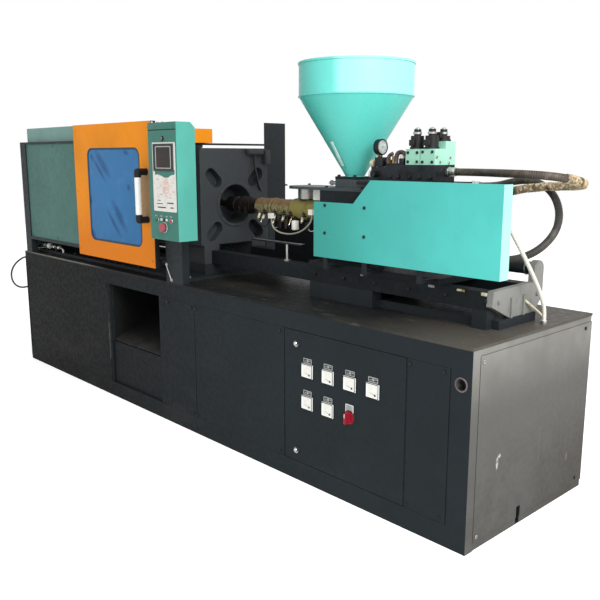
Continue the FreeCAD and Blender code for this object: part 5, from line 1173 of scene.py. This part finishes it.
class MACHINE_OT_box_fittings(bpy.types.Operator):
    """Cap, lock, film, screen frame, keypad and button collars of the control box"""
    bl_idname = "machine.box_fittings"
    bl_label = "Control box fittings"

    def execute(self, context):
        work = Assembly("box_fittings")
        keys = [(key_print(row, column), 118 + column * 30, 1489 - row * 16, 138 + column * 30,
                 1495 - row * 16, 1.9, 1.1, 0.4) for row in range(7) for column in range(6)]
        for finish, left, low, right, high, face, back, bevel in (*BOX_PLATES, *keys):
            work.put(finish, block((left, BOX_FRONT - face, low), (right, BOX_FRONT - back, high),
                                   bevel), flat=not bevel)
        # Studs that hold the lid, and the cam lock.
        work.put("zinc_plated_steel", *[
            rod((x, -640, 1795), (x, -640, 1803), 6, sides=16, bevel=1.5) for x in (72, 128, 176)])
        work.put("black_plastic", turned([(0, 7), (10, 7), (13, 5), (14, -1)],
                                         (186, BOX_FRONT, 1710), FRONT, 24))
        # Film with its pale margins, the frame of the screen, and the print over the keypad.
        work.put("membrane_white", plate(rounded((81, BOX_FRONT, 1318), (305, BOX_FRONT, 1690), 8),
                                         (0, -1.2, 0)), flat=True)
        work.put("label_dark_print", front_rim((190.5, BOX_FRONT - 4, 1610.5), (90.5, 69.5), 12, 5,
                                               2.5, 0.8))
        work.put("membrane_grey_print", front_rim((193, BOX_FRONT - 4, 1610), (74, 59), 6, 4, 2,
                                                  0.5))
        film = BOX_FRONT - 1.2
        work.put("shaded_front_enamel", plate([Vector((x, film, z)) for x, z in (
            (104, 1544), (104, 1516), (130, 1519), (166, 1512), (200, 1502), (232, 1503),
            (262, 1516), (296, 1520), (296, 1544))], (0, -0.7, 0)), flat=True)
        ways = [around(1, step * 36) for step in range(10)]
        work.put("membrane_pink_print", plate([Vector((206 + 33 * way.x, film, 1450 + 52 * way.z))
                                               for way in ways], (0, -0.4, 0)), flat=True)
        # Collars of the buttons, and the glands below the box.
        work.put("membrane_grey_print", turned([(25, -1), (25, 2), (27, 3), (29, 1), (29, -1)],
                                               (178, BOX_FRONT, 1230), FRONT))
        work.put("zinc_plated_steel", *[
            turned([(10, -1), (10, 3), (12, 3.5), (13, 2), (13, -1)], (x, BOX_FRONT, 1268), FRONT,
                   24) for x in (112, 248)])
        work.put("black_plastic", *[
            rod((x, -560, 1161), (x, -560, 1148), 11, sides=6, bevel=1.5) for x in (110, 160, 210)],
            flat=True)
        work.finish("machine", "box_paint")
        return {"FINISHED"}


# ---------------------------------------------------------------- clamp end

# Height of the machine's working axis, through the platens and the barrel.
AXIS = 1322


class MACHINE_OT_platen_fittings(bpy.types.Operator):
    """Locating ring of the fixed platen, and its terminal boxes with their pipe"""
    bl_idname = "machine.platen_fittings"
    bl_label = "Platen fittings"

    def execute(self, context):
        work = Assembly("platen_fittings")
        ring = [(122, -2), (122, 3), (126, 5), (138, 5), (141, 3), (141, -2)]
        work.put("painted_casting", turned(ring, (-17, 0, AXIS), RIGHT, 64))
        for turn in range(6):
            centre = Vector((-12.5, 0, AXIS)) + around(0, 30 + 60 * turn) * 131.5
            work.socket_screw(centre, RIGHT, 4.5, "blackened_steel")
        for left, low, right, high in ((83, 1628, 205, 1664), (222, 1566, 262, 1655)):
            work.put("tank_grey_enamel", block((-18, left, low), (20, right, high), 3))
            work.put("painted_casting", block((19, left + 5, low + 5),
                                              (23, right - 5, high - 5), 1))
        work.put("black_plastic", pipe([(-2, 144, 1630), (-2, 144, 1560), (6, 158, 1500),
                                        (-4, 176, 1440), (-6, 196, 1410), (-17, 214, 1400)], 7, 4))
        work.finish("machine", "platen_iron")
        return {"FINISHED"}


# ---------------------------------------------------------------- injection end

class MACHINE_OT_barrel_fittings(bpy.types.Operator):
    """Clamp straps, screws, ceramic terminals and thermocouples of the heater bands"""
    bl_idname = "machine.barrel_fittings"
    bl_label = "Barrel fittings"

    def execute(self, context):
        work = Assembly("barrel_fittings")
        # A clamp strap round each band, with the two ears and the screw that pull it tight.
        for finish, radius, places in (("heat_stained_steel", 50, (85, 145)),
                                       ("heat_tinted_band", 50, (250, 326, 419, 497)),
                                       ("olive_heater_sheet", 58, (562, 672, 783))):
            strap = [(radius - 1, -7), (radius + 1.6, -7), (radius + 1.6, 7), (radius - 1, 7)]
            for x in places:
                work.put(finish, turned(strap, (x, 0, AXIS), RIGHT, 48))
                work.put("heat_stained_steel", *[
                    block((x - 8, -radius - 9, AXIS - drop - 4), (x + 8, -radius * 0.8,
                                                                  AXIS - drop + 3), 1)
                    for drop in (20, 34)],
                    rod((x, -radius - 5, AXIS - 46), (x, -radius - 5, AXIS - 8), 3.2, sides=10))
        work.put("heat_tinted_band", turned([(47, -11), (54, -11), (55, -9), (55, 9), (54, 11),
                                             (47, 11)], (364, 0, AXIS), RIGHT, 48))
        # Ceramic terminals under the bands, with brass nuts.
        for x, glaze in ((262, "cream_plastic"), (304, "white_ceramic"), (438, "blackened_steel"),
                         (478, "cream_plastic"), (516, "blackened_steel"), (640, "white_ceramic")):
            work.put(glaze, rod((x, -34, AXIS - 40), (x, -46, AXIS - 68), 8, 7, 16, 1))
            work.put("brass", rod((x, -46, AXIS - 68), (x, -49, AXIS - 76), 5, sides=6), flat=True)
        # Thermocouples on bayonet caps, their armoured leads turned up behind the barrel.
        for x, lead in ((290, "blackened_steel"), (398, "ground_steel"), (540, "blackened_steel"),
                        (700, "ground_steel")):
            work.put("hard_chrome", rod((x, -26, AXIS - 44), (x, -52, AXIS - 92), 3, sides=10))
            work.put("brass", rod((x, -36, AXIS - 62), (x, -44, AXIS - 77), 7, sides=16, bevel=1))
            work.put(lead, pipe([(x + along, y, AXIS - drop) for along, y, drop in (
                (0, -52, 92), (6, -58, 108), (30, -56, 116), (46, -40, 106), (50, -20, 70),
                (50, -10, 48))], 3, 2))
        # Shaded terminal covers under the bands, one of them in pale ceramic.
        for low, high, glaze in ((440, 476, "blackened_steel"), (500, 524, "heat_stained_steel"),
                                 (566, 596, "white_ceramic"), (676, 716, "blackened_steel")):
            work.put(glaze, block((low, -58, AXIS - 118), (high, -22, AXIS - 62), 7))
            work.put("blackened_steel", block((low + 6, -44, AXIS - 66),
                                              (high - 6, -24, AXIS - 40), 2))
        work.finish("carriage", "band_copper")
        return {"FINISHED"}


# The hopper's cone: radius and height of its small and its wide end, and where its axis stands.
CONE_LOW, CONE_HIGH = (48, 1512), (295, 1915)
HOPPER_X = 1000


def cone_radius(z):
    """The radius of the hopper's cone at a height."""
    share = (z - CONE_LOW[1]) / (CONE_HIGH[1] - CONE_LOW[1])
    return CONE_LOW[0] + share * (CONE_HIGH[0] - CONE_LOW[0])


class MACHINE_OT_hopper_fittings(bpy.types.Operator):
    """Sight strip, weld beads, flange and bolts of the hopper, and the knob of its gate"""
    bl_idname = "machine.hopper_fittings"
    bl_label = "Hopper fittings"

    def execute(self, context):
        work = Assembly("hopper_fittings")
        for bead, z, sides in (([(294, -4), (297.5, -3), (299, 0), (297.5, 3), (294, 4)], 1915, 96),
                               ([(47, -4), (51, -3), (52, 0), (51, 3), (47, 4)], 1513, 40)):
            work.put("pale_turquoise_enamel", turned(bead, (HOPPER_X, 0, z), UP, sides))

        # Clear strip down the cone, in its frame.
        middle = -98
        for width, low, high, stand, finish in ((19, 1556, 1698, 1.5, "box_side_enamel"),
                                                (11, 1566, 1688, 3.5, "sight_strip_acrylic")):
            corners = []
            for z, side in ((low, -1), (low, 1), (high, 1), (high, -1)):
                radius = cone_radius(z)
                way = around(2, middle + math.degrees(side * width / radius))
                corners.append(Vector((HOPPER_X, 0, z)) + way * (radius + stand))
            out = (around(2, middle) - 0.6 * Vector(UP)).normalized()
            work.put(finish, plate(corners, -out * 12, 0.8))
        work.put("oily_beam_paint", block((928, -76, 1499), (1072, 76, 1513), 2))
        for centre in product((944, 1056), (-62, 62), [1513]):
            work.hex_bolt(centre, UP, 9, "blackened_steel")
        for centre in product((560, 880, 1130), (-90, 90), [1455]):
            work.hex_bolt(centre, UP, 8, "blackened_steel")
        work.finish("carriage", "hopper_paint")
        work = Assembly("gate_knob")
        work.put("blackened_steel", rod((853, 0, 1476), (838, 0, 1476), 6, sides=16))
        work.put("black_plastic", turned([(0, 0), (10, 1), (14, 7), (14, 12), (10, 18), (0, 20)],
                                         (840, 0, 1476), (-1, 0, 0), 24))
        work.finish("slide_gate", "bright_steel")
        return {"FINISHED"}


# Unions and plugs on the gauge's block and the valve table: start, end, radius, sides, finish.
UNIONS = (
    ((1222, -60, 1612), (1222, -60, 1626), 13, 6, "brass"),
    ((1192, -60, 1530), (1172, -60, 1530), 15, 6, "brass"),
    ((1173, -60, 1530), (1160, -60, 1530), 18, 24, "white_ceramic"),
    ((1192, -60, 1582), (1216, -60, 1582), 10, 24, "brass"),
    ((1170, -60, 1582), (1192, -60, 1582), 19, 24, "cream_plastic"),
    ((1320, -66, 1577), (1320, -66, 1600), 17, 6, "brass"),
    ((1320, -66, 1600), (1320, -66, 1618), 12, 20, "brass"),
    ((1372, -66, 1577), (1372, -66, 1606), 19, 24, "blackened_steel"),
    ((1372, -66, 1606), (1372, -66, 1620), 15, 24, "white_ceramic"),
    ((1320, 10, 1577), (1320, 10, 1612), 17, 6, "zinc_plated_steel"),
    ((1372, 10, 1577), (1372, 10, 1600), 20, 6, "blackened_steel"),
)

# Bent pipes by the gauge: radius, finish and route.
GAUGE_PIPES = (
    (11, "rusty_rim", ((1345, -84, 1583), (1345, -84, 1612), (1356, -84, 1634), (1384, -80, 1636),
                       (1400, -72, 1618), (1402, -66, 1590), (1402, -66, 1583))),
    (9, "rusty_rim", ((1295, -84, 1583), (1295, -84, 1606), (1300, -80, 1622), (1318, -74, 1630))),
    (12, "blackened_steel", ((1345, 22, 1583), (1345, 22, 1625), (1360, 12, 1646), (1392, 0, 1640),
                             (1410, -6, 1612), (1416, -6, 1600))),
    (8, "brass", ((1266, -60, 1590), (1284, -60, 1590), (1296, -58, 1596), (1300, -50, 1577))),
)


class MACHINE_OT_valve_fittings(bpy.types.Operator):
    """Dial of the gauge, screws of the valves, plugs of the solenoids and unions of the manifold"""
    bl_idname = "machine.valve_fittings"
    bl_label = "Valve fittings"

    def execute(self, context):
        work = Assembly("valve_fittings")
        hub, out = Vector((1235, -60, 1661)), Vector(RIGHT)
        work.put("blackened_steel", turned([(33, -2), (33, 5), (36, 6), (39, 4), (39, -6)], hub,
                                           RIGHT, 48))
        work.put("dial_card", rod(hub - out * 2, hub + out * 0.8, 34, sides=40), flat=True)
        for step in range(13):
            way = around(0, -50 + 280 * step / 12)
            work.put("label_dark_print", rod(hub + out + way * 24, hub + out + way * 30, 0.8,
                                             sides=4), flat=True)
        way, above = around(0, 215), hub + out * 2
        work.put("label_dark_print", rod(above - way * 8, above + way * 25, 1.2, 0.4, 8))
        work.put("brass", rod(hub, hub + out * 3, 4, sides=16, bevel=0.5))
        work.put("gauge_crystal", rod(hub + out * 3.6, hub + out * 4.6, 33.5, sides=40))
        # Block under the gauge, the plate of the valve table, and all that is screwed into them.
        work.put("blackened_steel", block((1216, -92, 1566), (1266, -28, 1612), 3),
                 block((1296, -99.5, 1577), (1400, 40, 1583), 2))
        for start, end, radius, sides, finish in UNIONS:
            work.put(finish, rod(start, end, radius, sides=sides, bevel=1.2), flat=sides == 6)
        for radius, finish, route in GAUGE_PIPES:
            work.put(finish, pipe(route, radius, 4))
        for x in (1322, 1372, 1440, 1500, 1560):
            work.put("blackened_steel", rod((x, -100, 1520), (x, -105, 1520), 12, bevel=1))
            work.put("black_plastic", rod((x, -104, 1520), (x, -105.3, 1520), 6, sides=6),
                     flat=True)
        for x, z in (*product((1430, 1484), (1591, 1633)), *product((1516, 1571), (1590, 1636))):
            work.socket_screw((x, -100, z), FRONT, 7, "blackened_steel")
        for y, z in ((-87, 1613), (17, 1610), (7, 1586), (-60, 1590)):
            work.socket_screw((1585, y, z), RIGHT, 7, "zinc_plated_steel")
        # Each solenoid's foot ring, button, top nut, plug and cable gland.
        for x, y, base in ((1458.2, -68, 1650), (1542.8, -68, 1650), (1542.8, 19, 1685)):
            work.put("blackened_steel", turned([(31, 0), (35, 1), (35, 8), (31, 9)], (x, y, base),
                                               UP, 32))
            work.put("ground_steel",
                     turned([(0, 9), (8, 7), (12, 3), (13, 0)], (x, y, 1740), UP, 24),
                     turned([(18, -14), (21, -12), (21, -4), (18, -2)], (x, y, 1730), UP, 24))
            work.put("black_plastic",
                     block((x - 15, y - 46, base + 14), (x + 15, y - 28, base + 42), 3),
                     rod((x, y - 37, base + 16), (x, y - 37, base + 4), 7, sides=16, bevel=1))
        work.finish("carriage", "valve_paint")
        return {"FINISHED"}


class MACHINE_OT_hose_ends(bpy.types.Operator):
    """Nuts and crimped ferrules on the fittings of the hoses"""
    bl_idname = "machine.hose_ends"
    bl_label = "Hose ends"

    def execute(self, context):
        work = Assembly("hose_ends")
        for x, y, z in ((1635, 0, 1545), (1592, 229, 1440), (1592, 264, 1474), (1745, -9, 1160)):
            work.put("zinc_plated_steel", *[
                turned([(19, -2.4), (21, -1.6), (21, 1.6), (19, 2.4)], (x - back, y, z), RIGHT, 32)
                for back in (6, 13, 20, 27)])
            work.put("zinc_plated_steel", rod((x - 34, y, z), (x - 49, y, z), 23, sides=6,
                                              bevel=1.5), flat=True)
        work.finish("carriage", "bright_steel")
        return {"FINISHED"}


class MACHINE_OT_cover_fittings(bpy.types.Operator):
    """Screws of the front cover, pads on the beam, and the strip and bolts of the rear bracket"""
    bl_idname = "machine.cover_fittings"
    bl_label = "Cover fittings"

    def execute(self, context):
        work = Assembly("cover_screws")
        for centre in product((1079, 1340), [-299], (1243, 1379)):
            work.socket_screw(centre, FRONT, 8, "blackened_steel")
        work.finish("carriage", "cover_paint")
        work = Assembly("bed_fittings")
        for x, half, low, finish in ((1236, 9, 1034, "label_grey_plastic"),
                                     (1661, 17, 1031, "label_grey_plastic"),
                                     (1813, 12, 1034, "cream_plastic"), (1836, 6, 1032, "brass"),
                                     (1940, 14, 1029, "cream_plastic")):
            work.put(finish, block((x - half, -197, low), (x + half, -189, 1043), 1.5))
        for x in range(900, 1960, 210):
            work.hex_bolt((x, -190, 1005), FRONT, 9, "blackened_steel")
        for y in (-150, 165):
            work.hex_bolt((1985, y, 1000), RIGHT, 8, "grey_casting_paint")
        work.put("cream_plastic", pipe([(1987, 60, 985), (1998, 72, 972), (2004, 120, 940),
                                        (2012, 160, 912), (2022, 187, 880)], 6))
        work.put("ground_steel", *[turned([(29, -4), (33, -3), (33, 3), (29, 4)], (x, 175, 1113),
                                          RIGHT, 32) for x in (1700, 1925)])
        work.finish("machine", "bracket_grey")
        return {"FINISHED"}


# ---------------------------------------------------------------- add-on

class MACHINE_PT_panel(bpy.types.Panel):
    """Steps that dress the machine"""
    bl_idname = "MACHINE_PT_panel"
    bl_label = "Moulding machine"
    bl_space_type = "VIEW_3D"
    bl_region_type = "UI"
    bl_category = "Moulding machine"

    def draw(self, context):
        for step in STEPS:
            self.layout.operator(step.bl_idname)
        for group in GROUPS:
            settings = getattr(context.scene, group)
            for name in settings.bl_rna.properties.keys():
                if name not in ("rna_type", "name"):
                    self.layout.prop(settings, name)


STEPS = (MACHINE_OT_studio, MACHINE_OT_finishes, MACHINE_OT_hoses, MACHINE_OT_base_fasteners,
         MACHINE_OT_deck_fittings, MACHINE_OT_meters, MACHINE_OT_cabinet_fittings,
         MACHINE_OT_door_fittings, MACHINE_OT_box_fittings, MACHINE_OT_platen_fittings,
         MACHINE_OT_barrel_fittings, MACHINE_OT_hopper_fittings, MACHINE_OT_valve_fittings,
         MACHINE_OT_hose_ends, MACHINE_OT_cover_fittings)
GROUPS = {"machine_paints": MachinePaints, "machine_sizes": MachineSizes,
          "machine_studio": StudioSettings}
CLASSES = (*GROUPS.values(), *STEPS, MACHINE_PT_panel)


def register():
    for group in CLASSES:
        bpy.utils.register_class(group)
    for name, group in GROUPS.items():
        setattr(bpy.types.Scene, name, PointerProperty(type=group))


def unregister():
    for name in GROUPS:
        delattr(bpy.types.Scene, name)
    for group in reversed(CLASSES):
        bpy.utils.unregister_class(group)


def main():
    register()
    for step in STEPS:
        getattr(bpy.ops.machine, step.bl_idname.split(".")[1])()


if __name__ == "__main__":
    main()
